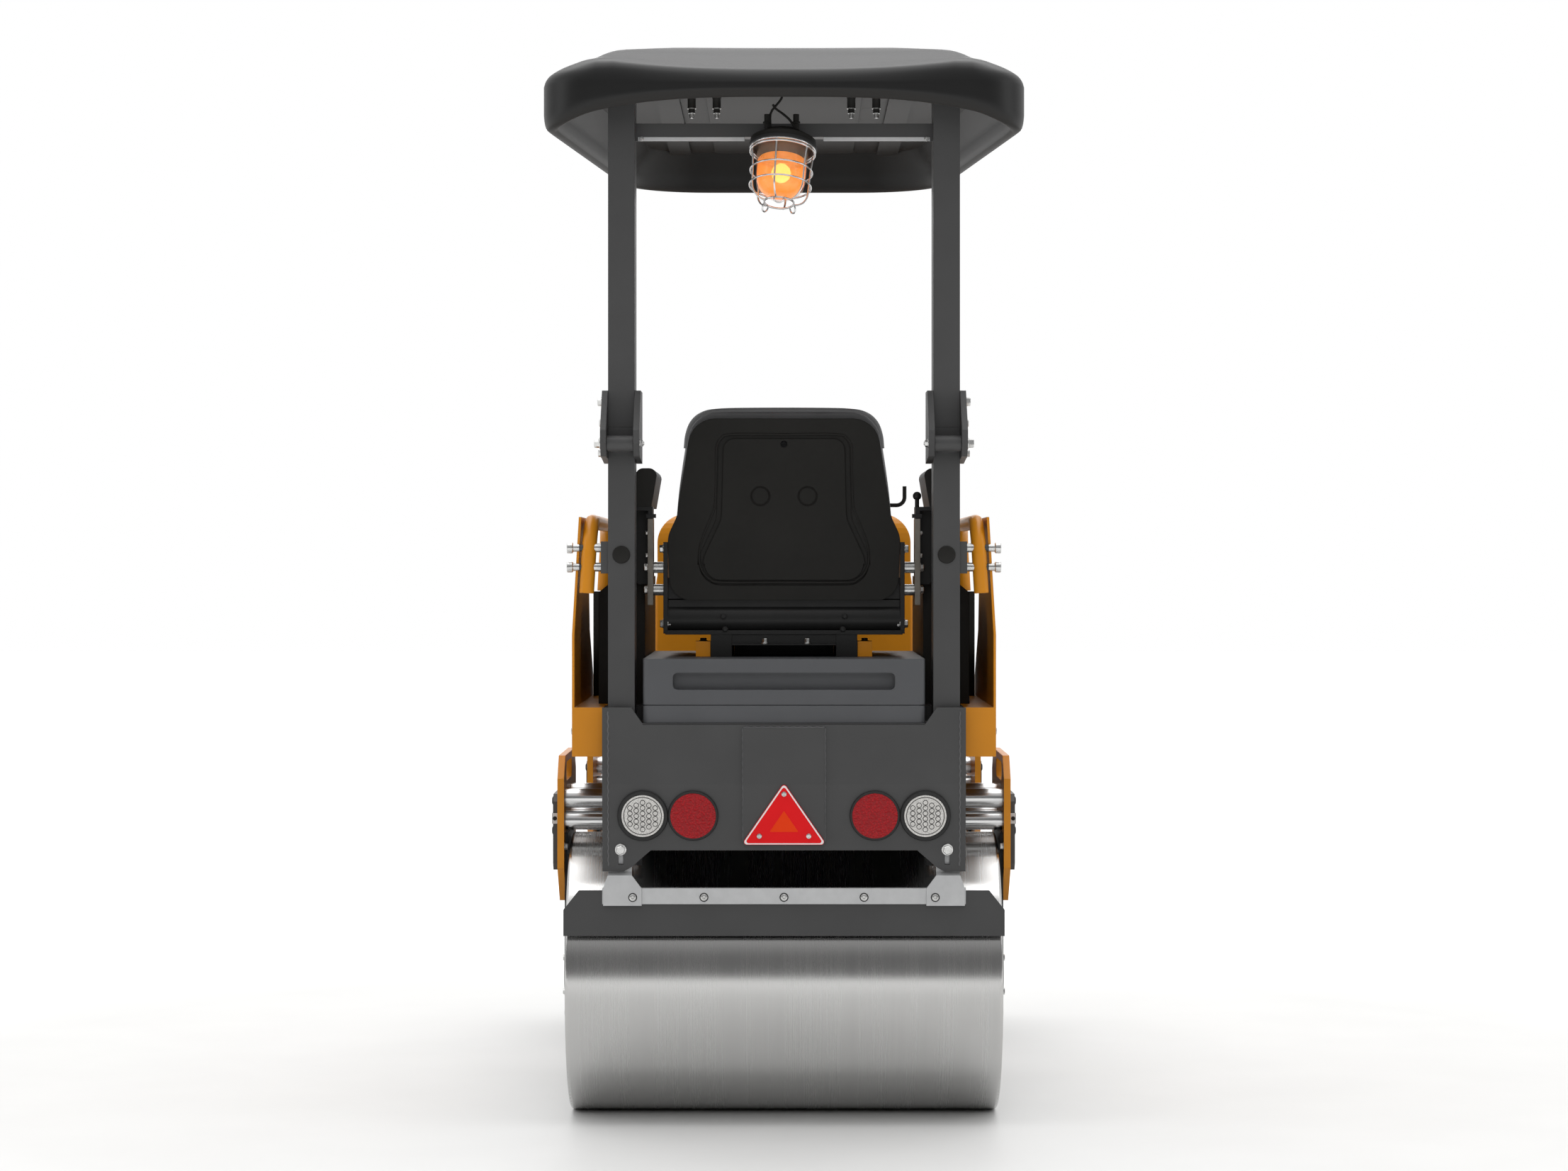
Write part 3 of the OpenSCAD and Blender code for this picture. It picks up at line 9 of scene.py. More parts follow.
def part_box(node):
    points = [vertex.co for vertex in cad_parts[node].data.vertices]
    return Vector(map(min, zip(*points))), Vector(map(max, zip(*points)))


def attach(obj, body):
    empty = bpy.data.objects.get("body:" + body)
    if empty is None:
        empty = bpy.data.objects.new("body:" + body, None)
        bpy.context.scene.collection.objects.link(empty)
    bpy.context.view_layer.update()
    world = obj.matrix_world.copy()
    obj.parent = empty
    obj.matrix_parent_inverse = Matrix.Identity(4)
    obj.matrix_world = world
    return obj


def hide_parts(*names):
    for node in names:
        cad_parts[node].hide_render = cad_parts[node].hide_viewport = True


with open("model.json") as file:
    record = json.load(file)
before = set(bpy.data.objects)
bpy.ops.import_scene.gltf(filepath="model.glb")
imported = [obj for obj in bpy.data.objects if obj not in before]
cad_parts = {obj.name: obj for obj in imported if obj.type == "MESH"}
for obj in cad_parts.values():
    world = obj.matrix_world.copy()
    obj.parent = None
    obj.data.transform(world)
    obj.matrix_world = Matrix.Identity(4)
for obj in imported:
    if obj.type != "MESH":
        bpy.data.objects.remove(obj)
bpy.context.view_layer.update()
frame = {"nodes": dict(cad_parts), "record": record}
nodes = frame["nodes"]

# Places in millimetres: rear() measures ahead from the rear axle, front() back from the front axle
REAR_Y, FRONT_Y, AXLE_Z = -0.623, 0.677, 290
PLATE_OUT, BEND_Z, KICK = -302.0, 699.0, math.radians(6)


def rear(x, y, z):
    return Vector((x / 1000, REAR_Y + y / 1000, z / 1000))


def front(x, y, z):
    return Vector((x / 1000, FRONT_Y - y / 1000, z / 1000))


def on_plate(x, out, down, place=rear):
    """A point on an end plate below its bend: out from its face, down from the bend."""
    y = -out * math.cos(KICK) + down * math.sin(KICK)
    z = -out * math.sin(KICK) - down * math.cos(KICK)
    return place(x, PLATE_OUT + y, BEND_Z + z)


REAR_OUT = Vector((0, -math.cos(KICK), -math.sin(KICK)))
FRONT_OUT = Vector((0, math.cos(KICK), -math.sin(KICK)))
RIGHT, LEFT, BACK, AHEAD, UP, DOWN = (Vector(v) for v in (
    (1, 0, 0), (-1, 0, 0), (0, -1, 0), (0, 1, 0), (0, 0, 1), (0, 0, -1)))


# Meshes that share a body and a material are gathered into one piece
HALVES = ("rear", "front")
ENDS = (("rear", rear), ("front", front))


class Batch:
    all = []

    def __init__(self, name, body, material, slot, smooth=35):
        self.name, self.body, self.material, self.slot, self.smooth = name, body, material, slot, smooth
        self.verts, self.faces = [], []
        Batch.all.append(self)

    def add(self, verts, faces):
        base = len(self.verts)
        self.verts += [tuple(v) for v in verts]
        self.faces += [tuple(base + i for i in f) for f in faces]

    def build(self):
        mesh = bpy.data.meshes.new(self.name)
        mesh.from_pydata(self.verts, [], self.faces)
        bm = bmesh.new()
        bm.from_mesh(mesh)
        bmesh.ops.recalc_face_normals(bm, faces=bm.faces)
        bm.to_mesh(mesh)
        bm.free()
        mesh.shade_smooth()
        mesh.set_sharp_from_angle(angle=math.radians(self.smooth))
        mesh.materials.append(self.material)
        obj = bpy.data.objects.new(self.name, mesh)
        bpy.context.scene.collection.objects.link(obj)
        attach(obj, self.body)
        return obj


def batches(prefix, bodies, material, slot):
    """One batch for each body."""
    return {body: Batch(f"{prefix}_{body}", body, material, slot) for body in bodies}


def wobble(k, size):
    """The uneven edge of a weld bead at its k-th point."""
    return size * math.sin(k * 1.9)


def turned(direction):
    return Vector(direction).to_track_quat("Z", "Y").to_matrix()


def lathe(batch, at, direction, profile, n=24, turn=0.0):
    """Revolves (radius, height) pairs in millimetres about a direction."""
    m = turned(direction)
    verts, faces, rings = [], [], []
    for r, h in profile:
        if r <= 0:
            rings.append([len(verts)])
            verts.append(at + m @ Vector((0, 0, h / 1000)))
            continue
        rings.append(list(range(len(verts), len(verts) + n)))
        for i in range(n):
            a = 2 * math.pi * i / n + turn
            verts.append(at + m @ Vector((r / 1000 * math.cos(a), r / 1000 * math.sin(a), h / 1000)))
    for p, q in zip(rings, rings[1:]):
        for i in range(n):
            j = (i + 1) % n
            if len(p) == 1 and len(q) == 1:
                continue
            if len(p) == 1:
                faces.append((p[0], q[i], q[j]))
            elif len(q) == 1:
                faces.append((p[i], q[0], p[j]))
            else:
                faces.append((p[i], q[i], q[j], p[j]))
    batch.add(verts, faces)


def hex_bolt(batch, at, direction, r=9.0, h=7.0, washer=1.5, turn=0.3):
    """A hex head with a chamfered top on a washer."""
    lathe(batch, at, direction,
          [(0, 0), (r * 1.25, 0), (r * 1.25, washer * 0.7), (r * 1.18, washer), (0, washer)], 28)
    lathe(batch, at, direction,
          [(0, washer), (r, washer), (r, washer + h * 0.82), (r * 0.86, washer + h), (0, washer + h)],
          6, turn)


def round_bolt(batch, at, direction, r=7.0, h=4.0):
    """A low domed head with a socket."""
    lathe(batch, at, direction,
          [(r * 0.95, 0), (r, h * 0.25), (r * 0.9, h * 0.7), (r * 0.62, h), (r * 0.42, h),
           (r * 0.36, h * 0.45), (0, h * 0.4)], 24)


def nut_stud(batch, at, direction, r=8.0):
    """A nut on a stud's end, with a washer."""
    hex_bolt(batch, at, direction, r, r * 0.8, 1.6)
    lathe(batch, at, direction,
          [(0, r * 0.8), (r * 0.55, r * 0.8), (r * 0.55, r * 1.25), (r * 0.45, r * 1.35), (0, r * 1.35)], 16)


def tube(batch, points, r, n=10, closed=False):
    """Sweeps a circle of radius r (mm) along points, carrying its frame along the path."""
    pts = [Vector(p) for p in points]
    count = len(pts)
    dirs = []
    for i in range(count):
        a = pts[i - 1] if closed or i > 0 else pts[i]
        b = pts[(i + 1) % count] if closed or i < count - 1 else pts[i]
        dirs.append((b - a).normalized())
    side = dirs[0].orthogonal().normalized()
    verts, rings = [], []
    for p, d in zip(pts, dirs):
        side = (side - d * side.dot(d)).normalized()
        up = d.cross(side)
        rings.append(list(range(len(verts), len(verts) + n)))
        for i in range(n):
            a = 2 * math.pi * i / n
            verts.append(p + (side * math.cos(a) + up * math.sin(a)) * (r / 1000))
    faces = []
    for k in range(count if closed else count - 1):
        p, q = rings[k], rings[(k + 1) % count]
        faces += [(p[i], p[(i + 1) % n], q[(i + 1) % n], q[i]) for i in range(n)]
    if not closed:
        faces += [tuple(reversed(rings[0])), tuple(rings[-1])]
    batch.add(verts, faces)


def smooth_path(points, steps=8):
    """A Catmull-Rom curve through points."""
    pts = [Vector(p) for p in points]
    pts = [2 * pts[0] - pts[1]] + pts + [2 * pts[-1] - pts[-2]]
    out = []
    for i in range(1, len(pts) - 2):
        a, b, c, d = pts[i - 1:i + 3]
        for k in range(steps):
            t = k / steps
            out.append(0.5 * (2 * b + (c - a) * t + (2 * a - 5 * b + 4 * c - d) * t * t
                              + (3 * b - a - 3 * c + d) * t ** 3))
    return out + [pts[-2]]


def slab(batch, outline, matrix, t, bevel=1.0):
    """Extrudes an outline (mm, in the matrix's XY plane) by t along its Z, with a bevelled top edge."""
    n = len(outline)
    c = Vector((sum(p[0] for p in outline) / n, sum(p[1] for p in outline) / n))
    verts = []
    for h, inset in ((0, 0), (t - bevel, 0), (t, bevel)):
        for p in outline:
            q = Vector(p)
            d = c - q
            if inset and d.length > 0:
                q = q + d.normalized() * inset
            verts.append(matrix @ Vector((q.x / 1000, q.y / 1000, h / 1000)))
    faces = [tuple(reversed(range(n))), tuple(range(2 * n, 3 * n))]
    for k in range(2):
        faces += [(k * n + i, k * n + (i + 1) % n, (k + 1) * n + (i + 1) % n, (k + 1) * n + i)
                  for i in range(n)]
    batch.add(verts, faces)


def box(batch, x, y, z, place=rear):
    """A plain block between pairs of millimetres."""
    verts = [place(x[i & 1], y[i >> 1 & 1], z[i >> 2]) for i in range(8)]
    batch.add(verts, [(0, 1, 3, 2), (4, 6, 7, 5), (0, 4, 5, 1), (2, 3, 7, 6), (0, 2, 6, 4), (1, 5, 7, 3)])


def placed(at, direction, up=UP):
    """A matrix whose Z is the direction and whose Y is nearest to up."""
    z = Vector(direction).normalized()
    x = Vector(up).cross(z).normalized()
    y = z.cross(x)
    m = Matrix((x, y, z)).transposed().to_4x4()
    m.translation = at
    return m


# Materials
def links_of(name):
    m = bpy.data.materials.new(name)
    m.use_nodes = True
    t = m.node_tree
    return m, t, t.nodes["Principled BSDF"]


def node(t, kind, **values):
    n = t.nodes.new(kind)
    for k, v in values.items():
        if k in n.inputs:
            n.inputs[k].default_value = v
        else:
            setattr(n, k, v)
    return n


def coords(t, scale=(1, 1, 1)):
    c = node(t, "ShaderNodeTexCoord")
    m = node(t, "ShaderNodeMapping", Scale=scale)
    t.links.new(c.outputs["Object"], m.inputs["Vector"])
    return m.outputs["Vector"]


def noise(t, vector, scale, detail=4.0, rough=0.5):
    n = node(t, "ShaderNodeTexNoise", Scale=scale, Detail=detail, Roughness=rough)
    t.links.new(vector, n.inputs["Vector"])
    return n.outputs["Fac"]


def ramp(t, fac, stops):
    r = node(t, "ShaderNodeValToRGB")
    e = r.color_ramp.elements
    while len(e) < len(stops):
        e.new(0.5)
    for k, (pos, col) in enumerate(stops):
        e[k].position = pos
        e[k].color = (*col, 1) if len(col) == 3 else col
    t.links.new(fac, r.inputs["Fac"])
    return r.outputs["Color"]


def span(t, fac, low, high, a=0.0, b=1.0):
    r = node(t, "ShaderNodeMapRange")
    for k, v in zip(("From Min", "From Max", "To Min", "To Max"), (a, b, low, high)):
        r.inputs[k].default_value = v
    t.links.new(fac, r.inputs["Value"])
    return r.outputs["Result"]


def shade(color, k):
    return tuple(min(1.0, c * k) for c in color[:3])


def surface(name, color, rough, metallic=0.0, mottle=0.12, mottle_scale=9.0, grain=1400.0, bump=0.08,
            stretch=(1, 1, 1), rough_span=0.08, edge=0.0, edge_highlight_color=None, edge_r=0.0018, gloss=0.5):
    """Paint, plastic or metal: mottled colour, uneven roughness, a fine grain and softened edges, with paler
    paint along the edges where edge is set, a painted highlight.
    """
    m, t, p = links_of(name)
    p.inputs["Metallic"].default_value = metallic
    p.inputs["Specular IOR Level"].default_value = gloss
    wide = noise(t, coords(t), mottle_scale, 5)
    fine = noise(t, coords(t, stretch), grain, 3)
    base = ramp(t, wide, [(0.3, shade(color, 1 - mottle)), (0.7, shade(color, 1 + mottle))])
    t.links.new(span(t, fine, rough - rough_span, rough + rough_span, 0.3, 0.7), p.inputs["Roughness"])
    b = node(t, "ShaderNodeBump", Strength=bump, Distance=0.0006)
    t.links.new(fine, b.inputs["Height"])
    if edge_r:
        soft = node(t, "ShaderNodeBevel", samples=4, Radius=edge_r)
        t.links.new(soft.outputs["Normal"], b.inputs["Normal"])
        # Paler paint where the softened normal bends away from the face: a painted highlight along the
        # edges.
        if edge:
            g = node(t, "ShaderNodeNewGeometry")
            dot = node(t, "ShaderNodeVectorMath", operation="DOT_PRODUCT")
            t.links.new(soft.outputs["Normal"], dot.inputs[0])
            t.links.new(g.outputs["Normal"], dot.inputs[1])
            painted_edge_highlight = span(t, dot.outputs["Value"], edge, 0.0, 0.86, 0.99)
            mix = node(t, "ShaderNodeMix", data_type="RGBA")
            t.links.new(painted_edge_highlight, mix.inputs["Factor"])
            t.links.new(base, mix.inputs["A"])
            mix.inputs["B"].default_value = (*(edge_highlight_color or shade(color, 1.8)), 1)
            base = mix.outputs["Result"]
    t.links.new(base, p.inputs["Base Color"])
    t.links.new(b.outputs["Normal"], p.inputs["Normal"])
    return m


def dull_below(m, color, gloss, low_gloss):
    """Makes a moulding less glossy on the faces that look down and paints them paler: painted light from
    below.
    """
    t = m.node_tree
    p = t.nodes["Principled BSDF"]
    facing = node(t, "ShaderNodeTexCoord")
    upward = node(t, "ShaderNodeSeparateXYZ")
    t.links.new(facing.outputs["Normal"], upward.inputs[0])
    under = span(t, upward.outputs["Z"], 1.0, 0.0, -0.7, -0.2)
    painted_light_below = node(t, "ShaderNodeMix", data_type="RGBA")
    t.links.new(span(t, under, gloss, low_gloss), p.inputs["Specular IOR Level"])
    t.links.new(under, painted_light_below.inputs["Factor"])
    t.links.new(p.inputs["Base Color"].links[0].from_socket, painted_light_below.inputs["A"])
    painted_light_below.inputs["B"].default_value = (*color, 1)
    t.links.new(painted_light_below.outputs["Result"], p.inputs["Base Color"])


# Charcoal, yellow and black steel get paler paint along their edges: a painted highlight.
charcoal = surface("charcoal_paint", (0.052, 0.052, 0.0525), 0.46, mottle=0.05, gloss=0.35, edge=0.3,
                   grain=2200, bump=0.05)
yellow = surface("yellow_paint", (0.56, 0.212, 0.008), 0.36, mottle=0.04, gloss=0.3, edge=0.3,
                 edge_highlight_color=(0.72, 0.36, 0.08), grain=2400, bump=0.04)
black_steel = surface("black_steel", (0.011, 0.011, 0.011), 0.42, gloss=0.3, edge=0.25)
plastic = surface("black_plastic", (0.0115, 0.0110, 0.0098), 0.5, gloss=0.2, grain=2600, bump=0.12,
                  edge_r=0.003)
moulded = surface("canopy_plastic", (0.0085, 0.0085, 0.0086), 0.4, gloss=0.28, mottle=0.05, grain=1800,
                  bump=0.04, edge_r=0.0)
# The canopy's underside gets less gloss and a paler colour, which is painted light from below.
dull_below(moulded, (0.034, 0.033, 0.032), 0.28, 0.02)
tank = surface("tank_plastic", (0.066, 0.068, 0.073), 0.5, mottle=0.05, grain=1600, bump=0.08, edge_r=0.004)
rubber = surface("black_rubber", (0.010, 0.010, 0.010), 0.6, grain=1800, bump=0.12, edge_r=0.0)
zinc = surface("galvanised", (0.50, 0.505, 0.51), 0.45, 0.35, mottle=0.04, mottle_scale=60, grain=700,
               bump=0.04)
bright = surface("bright_steel", (0.66, 0.66, 0.66), 0.2, 1.0, mottle=0.04, grain=500, bump=0.004,
                 rough_span=0.03, stretch=(0.05, 1, 1))
bolt_metal = surface("bolt_zinc", (0.62, 0.62, 0.61), 0.3, 1.0, mottle=0.15, mottle_scale=80, grain=900,
                     edge_r=0.0004)
link_steel = surface("link_steel", (0.16, 0.145, 0.125), 0.35, 0.5, mottle=0.15, mottle_scale=30, grain=600,
                     bump=0.05)
iron = surface("engine_iron", (0.05, 0.05, 0.052), 0.55, grain=500, bump=0.3)
weld = surface("weld_bead", (0.085, 0.085, 0.087), 0.4, grain=260, bump=0.5, edge_r=0.0)
# Paler vinyl for the backrest's top edge: a painted highlight.
top_highlight_vinyl = surface("seat_top_highlight", (0.105, 0.106, 0.108), 0.5, mottle=0.06, grain=900, bump=0.15,
                       edge_r=0.0)
white = surface("sign_white", (0.75, 0.75, 0.75), 0.4, mottle=0.03, edge_r=0.0)
sign_red = surface("sign_red", (0.68, 0.008, 0.011), 0.4, gloss=0.12, mottle=0.04, grain=900, edge_r=0.0)
sign_orange = surface("sign_orange", (0.72, 0.042, 0.003), 0.4, gloss=0.12, mottle=0.04, grain=900,
                      edge_r=0.0)


def drum_steel():
    m, t, p = links_of("drum_steel")
    p.inputs["Metallic"].default_value = 1.0
    p.inputs["Anisotropic"].default_value = 0.75
    p.inputs["Anisotropic Rotation"].default_value = 0.25
    streak = noise(t, coords(t, (1, 0.006, 0.006)), 420, 6, 0.7)
    broad = noise(t, coords(t, (1, 0.05, 0.05)), 26, 4)
    mix = node(t, "ShaderNodeMath", operation="MULTIPLY_ADD")
    t.links.new(broad, mix.inputs[0])
    mix.inputs[1].default_value = 0.45
    half = node(t, "ShaderNodeMath", operation="MULTIPLY")
    t.links.new(streak, half.inputs[0])
    half.inputs[1].default_value = 0.55
    t.links.new(half.outputs[0], mix.inputs[2])
    both = mix.outputs[0]
    greys = [(0.3, (0.53, 0.527, 0.52)), (0.5, (0.56, 0.556, 0.55)), (0.72, (0.59, 0.587, 0.58))]
    t.links.new(ramp(t, both, greys), p.inputs["Base Color"])
    t.links.new(span(t, both, 0.23, 0.3, 0.3, 0.7), p.inputs["Roughness"])
    b = node(t, "ShaderNodeBump", Strength=0.015, Distance=0.0004)
    t.links.new(streak, b.inputs["Height"])
    t.links.new(b.outputs["Normal"], p.inputs["Normal"])
    around = node(t, "ShaderNodeTangent", direction_type="RADIAL", axis="X")
    t.links.new(around.outputs["Tangent"], p.inputs["Tangent"])
    return m


def lens(name, color, rough, pattern, depth, gloss):
    """A moulded lens with a fine cell pattern pressed into it."""
    m, t, p = links_of(name)
    p.inputs["Roughness"].default_value = rough
    p.inputs["Specular IOR Level"].default_value = gloss
    cell = node(t, "ShaderNodeTexVoronoi", Scale=pattern)
    t.links.new(coords(t), cell.inputs["Vector"])
    t.links.new(ramp(t, cell.outputs["Distance"], [(0.0, shade(color, 1.25)), (0.6, shade(color, 0.75))]),
                p.inputs["Base Color"])
    b = node(t, "ShaderNodeBump", Strength=0.6, Distance=depth)
    t.links.new(cell.outputs["Distance"], b.inputs["Height"])
    t.links.new(b.outputs["Normal"], p.inputs["Normal"])
    return m


drum = drum_steel()
red_lens = lens("reflector_red", (0.34, 0.008, 0.012), 0.25, 240, 0.002, 0.25)
clear_lens = lens("lamp_clear", (0.7, 0.685, 0.66), 0.3, 500, 0.0004, 0.4)


def vinyl():
    m, t, p = links_of("seat_vinyl")
    grain = node(t, "ShaderNodeTexVoronoi", Scale=420.0)
    t.links.new(coords(t), grain.inputs["Vector"])
    wide = noise(t, coords(t), 14)
    greys = [(0.3, (0.052, 0.052, 0.054)), (0.7, (0.072, 0.072, 0.074))]
    t.links.new(ramp(t, wide, greys), p.inputs["Base Color"])
    t.links.new(span(t, wide, 0.42, 0.56, 0.3, 0.7), p.inputs["Roughness"])
    b = node(t, "ShaderNodeBump", Strength=0.22, Distance=0.0008)
    t.links.new(grain.outputs["Distance"], b.inputs["Height"])
    t.links.new(b.outputs["Normal"], p.inputs["Normal"])
    p.inputs["Sheen Weight"].default_value = 0.15
    return m


seat_vinyl = vinyl()


def glass(name, color, alpha, rough=0.06, glow=None, power=0.0):
    m, t, p = links_of(name)
    haze = noise(t, coords(t), 60, 3)
    t.links.new(ramp(t, haze, [(0.3, shade(color, 0.9)), (0.7, shade(color, 1.1))]), p.inputs["Base Color"])
    t.links.new(span(t, haze, rough * 0.7, rough * 1.5, 0.3, 0.7), p.inputs["Roughness"])
    p.inputs["Alpha"].default_value = alpha
    p.inputs["Coat Weight"].default_value = 0.5
    if glow:
        p.inputs["Emission Color"].default_value = (*glow, 1)
        p.inputs["Emission Strength"].default_value = power
    return m


jar_glass = glass("jar_glass", (0.5, 0.42, 0.33), 0.22)
amber_glass = glass("amber_dome", (0.9, 0.26, 0.01), 0.72, 0.3, (1.0, 0.27, 0.01), 0.75)
glow = glass("lamp_glow", (1.0, 0.75, 0.25), 1.0, 0.4, (1.0, 0.62, 0.16), 4.0)

FINISH = {
    "charcoal_paint": charcoal, "yellow_paint": yellow, "black_steel": black_steel, "drum_steel": drum,
    "bright_steel": bright, "galvanised": zinc, "black_plastic": plastic, "canopy_plastic": moulded,
    "tank_plastic": tank, "seat_vinyl": seat_vinyl, "lamp_white": clear_lens, "reflector_red": red_lens,
    "sign_red": sign_red, "amber_glass": jar_glass, "engine_iron": iron,
}
for row in frame["record"]["subparts"]:
    mesh = nodes[row["node"]].data
    mesh.materials.clear()
    mesh.materials.append(FINISH[row["material_slot"]])

bolts = batches("bolts", (*HALVES, "roll_bar"), bolt_metal, "bright_steel")
dark_bolts = batches("dark_bolts", HALVES, black_steel, "black_steel")
beads = batches("weld_beads", HALVES, weld, "charcoal_paint")
rings = batches("black_rings_and_bolt_shadows", HALVES, rubber, "black_plastic")
lenses = batches("lamp_lenses", HALVES, clear_lens, "lamp_white")

# Lamps, reflectors and the sign on the end plates
LAMP_X, REFLECTOR_X, LAMP_DOWN = 286, 184, 64
SPOT_X, SPOT_Z = 0.0128, 0.011


def lamp_face(body, place, out, x):
    """A lens with columns of small domes, each in its own ring."""
    at = on_plate(x, 7.0, LAMP_DOWN, place)
    lathe(rings[body], at - out * 0.007, out,
          [(43, 7), (43, 7.6), (45, 8.6), (49.5, 8.6), (51.4, 5.5), (51.4, 0)], 48)
    lathe(rings[body], at, out, [(37.4, 0), (37.4, 0.4), (38.6, 0.4), (38.6, 0)], 48)
    m = placed(at, out)
    for column in range(-2, 3):
        count = 6 - abs(column)
        for k in range(count):
            spot = m @ Vector((column * SPOT_X, (k - (count - 1) / 2) * SPOT_Z, 0))
            lathe(rings[body], spot, out, [(5.4, 0), (5.4, 0.8), (4.3, 0.8), (4.3, 0)], 14)
            lathe(lenses[body], spot, out, [(4.3, 0), (4.1, 1.2), (2.8, 2.0), (1.2, 1.2), (0, 1.0)], 14)
    lathe(lenses[body], at, out, [(39, 0), (40, 1.4), (42.5, 1.4), (43, 0)], 48)


for sx in (-1, 1):
    lamp_face("rear", rear, REAR_OUT, sx * LAMP_X)
    lamp_face("front", front, FRONT_OUT, sx * LAMP_X)
    lathe(rings["rear"], on_plate(sx * REFLECTOR_X, 0.0, LAMP_DOWN), REAR_OUT,
          [(45.4, 0), (51.2, 0), (51.2, 4.2), (49.8, 6.2), (46.2, 6.2), (45.4, 5)], 48)

sign = placed(on_plate(0, 12.0, 0), REAR_OUT)
border = Batch("sign_border", "rear", white, "sign_red")
centre = Batch("sign_centre", "rear", sign_orange, "sign_red")


def corners(scale, r):
    """A rounded triangle with the sign's own centre."""
    top, low, half = -6.0, -122.0, 75.0
    c = Vector((0, -82))
    pts = []
    for px, py, a0 in ((-half, low + 6, 150), (half, low + 6, 270), (0, top, 30)):
        q = c + (Vector((px, py)) - c) * scale
        for k in range(7):
            a = math.radians(a0 + 120 * k / 6)
            pts.append((q.x + r * math.cos(a), q.y + r * math.sin(a)))
    return pts


slab(border, corners(1.0, 5.2), sign, 0.5, 0.1)
inner_red = Batch("sign_field", "rear", sign_red, "sign_red")
slab(inner_red, corners(0.955, 4.2), sign @ Matrix.Translation((0, 0, 0.0005)), 0.5, 0.1)
slab(centre, corners(0.36, 1.2), sign @ Matrix.Translation((0, 0, 0.001)), 0.5, 0.1)
for px, py in ((0, -18), (-50, -104), (50, -104)):
    round_bolt(bolts["rear"], sign @ Vector((px / 1000, py / 1000, 0.001)), REAR_OUT, 5.5, 3.2)

# Plate bolts, weld beads, bolts of the fork caps and of the scraper's bar, the same at both ends
BEAD_X, CAP_BOLT_X, BAR_Y, BAR_Z = 356, 481, -298, 470
for body, place, out, away in (("rear", rear, REAR_OUT, BACK), ("front", front, FRONT_OUT, AHEAD)):
    for sx in (-1, 1):
        hex_bolt(bolts[body], on_plate(sx * 331, 0.2, 134, place), out, 9.5, 7, 2.5)
        top = 846 if body == "rear" else 756
        bead = [place(sx * (BEAD_X + wobble(k, 0.9)), PLATE_OUT, z)
                for k, z in enumerate(range(top, 700, -5))]
        bead += [on_plate(sx * (BEAD_X + wobble(k, 0.9)), 0.0, d, place)
                 for k, d in enumerate(range(2, 172, 5))]
        tube(beads[body], bead, 1.6, 8)
        for z in (650, 588):
            for y in (-60, 110):
                round_bolt(dark_bolts[body], place(sx * CAP_BOLT_X, y, z), RIGHT * sx, 9, 3.6)
    for x, lift in ((-306, 3.6), (-162, 0), (0, 0), (162, 0), (306, 3.6)):
        at = place(x, BAR_Y - lift, BAR_Z)
        # A thin black disc under each bar bolt: a painted shadow round its head.
        lathe(rings[body], at, away, [(0, 0), (9, 0), (9, 0.8), (0, 0.8)], 24)
        round_bolt(bolts[body], at + away * 0.0008, away, 7.4, 4.6)

# Canopy: the moulded roof, lofted through the same rows as its solid, with a closer mesh
ROOF_Z, REAR_HW, FRONT_HW, ROOF_REAR, ROOF_FRONT = 2099.3, 485.0, 385.0, -420.0, 840.0
REAR_R, FRONT_R, LEAST_R, LIP, RIM, ARCH, CROWN = 110.0, 210.0, 30.0, 60.0, 86.0, 62.0, 126.0
HORN_OUT, HORN_SPAN, BROW_HW = 475, 110, 345
RIM_SHARES = ((1.23, 0, 0), (0.75, 0.5, 0.5), (0.5, 0.95, 1), (0.25, 1, 1), (0.07, 0.88, 1), (0, 0.6, 0.7),
              (0, 0.2, 0.3))
CROWN_SHARES = (
    (0, 0.04, 0, 0.025), (0.07, 0.14, 0.07, 0.11), (0.23, 0.23, 0.17, 0.19), (0.57, 0.32, 0.3, 0.25),
    (1.03, 0.4, 0.47, 0.28), (1.53, 0.5, 0.73, 0.33), (1.78, 0.58, 1.1, 0.4), (2.1, 0.72, 1.6, 0.5),
    (2.7, 0.815, 2.33, 0.635), (4, 0.89, 3.67, 0.81), (5.5, 0.95, 5.33, 0.93))
HORN_ROWS = ((0, 6), (2, 20), (6, 34), (13, 45), (24, 52), (40, 57), (62, 63), (92, 75), (138, 91),
             (220, 107), (320, 118))


def roof_ring(inset, arc_n=14, edge_n=22):
    """The roof's outline, drawn in by an inset, as points in millimetres."""
    rear_r, front_r = max(REAR_R - inset, LEAST_R), max(FRONT_R - inset, LEAST_R)
    rear_x, front_x = REAR_HW - inset - rear_r, FRONT_HW - inset - front_r
    rear_y, front_y = ROOF_REAR + inset + rear_r, ROOF_FRONT - inset - front_r
    points = []
    for cx, cy, r, a0 in ((rear_x, rear_y, rear_r, -90), (front_x, front_y, front_r, 0),
                          (-front_x, front_y, front_r, 90), (-rear_x, rear_y, rear_r, 180)):
        turn = [math.radians(a0 + 90 * k / arc_n) for k in range(arc_n + 1)]
        corner = [Vector((cx + r * math.cos(a), cy + r * math.sin(a))) for a in turn]
        if points:
            points += [points[-1].lerp(corner[0], k / edge_n) for k in range(1, edge_n)]
        points += corner
    return points + [points[-1].lerp(points[0], k / edge_n) for k in range(1, edge_n)]


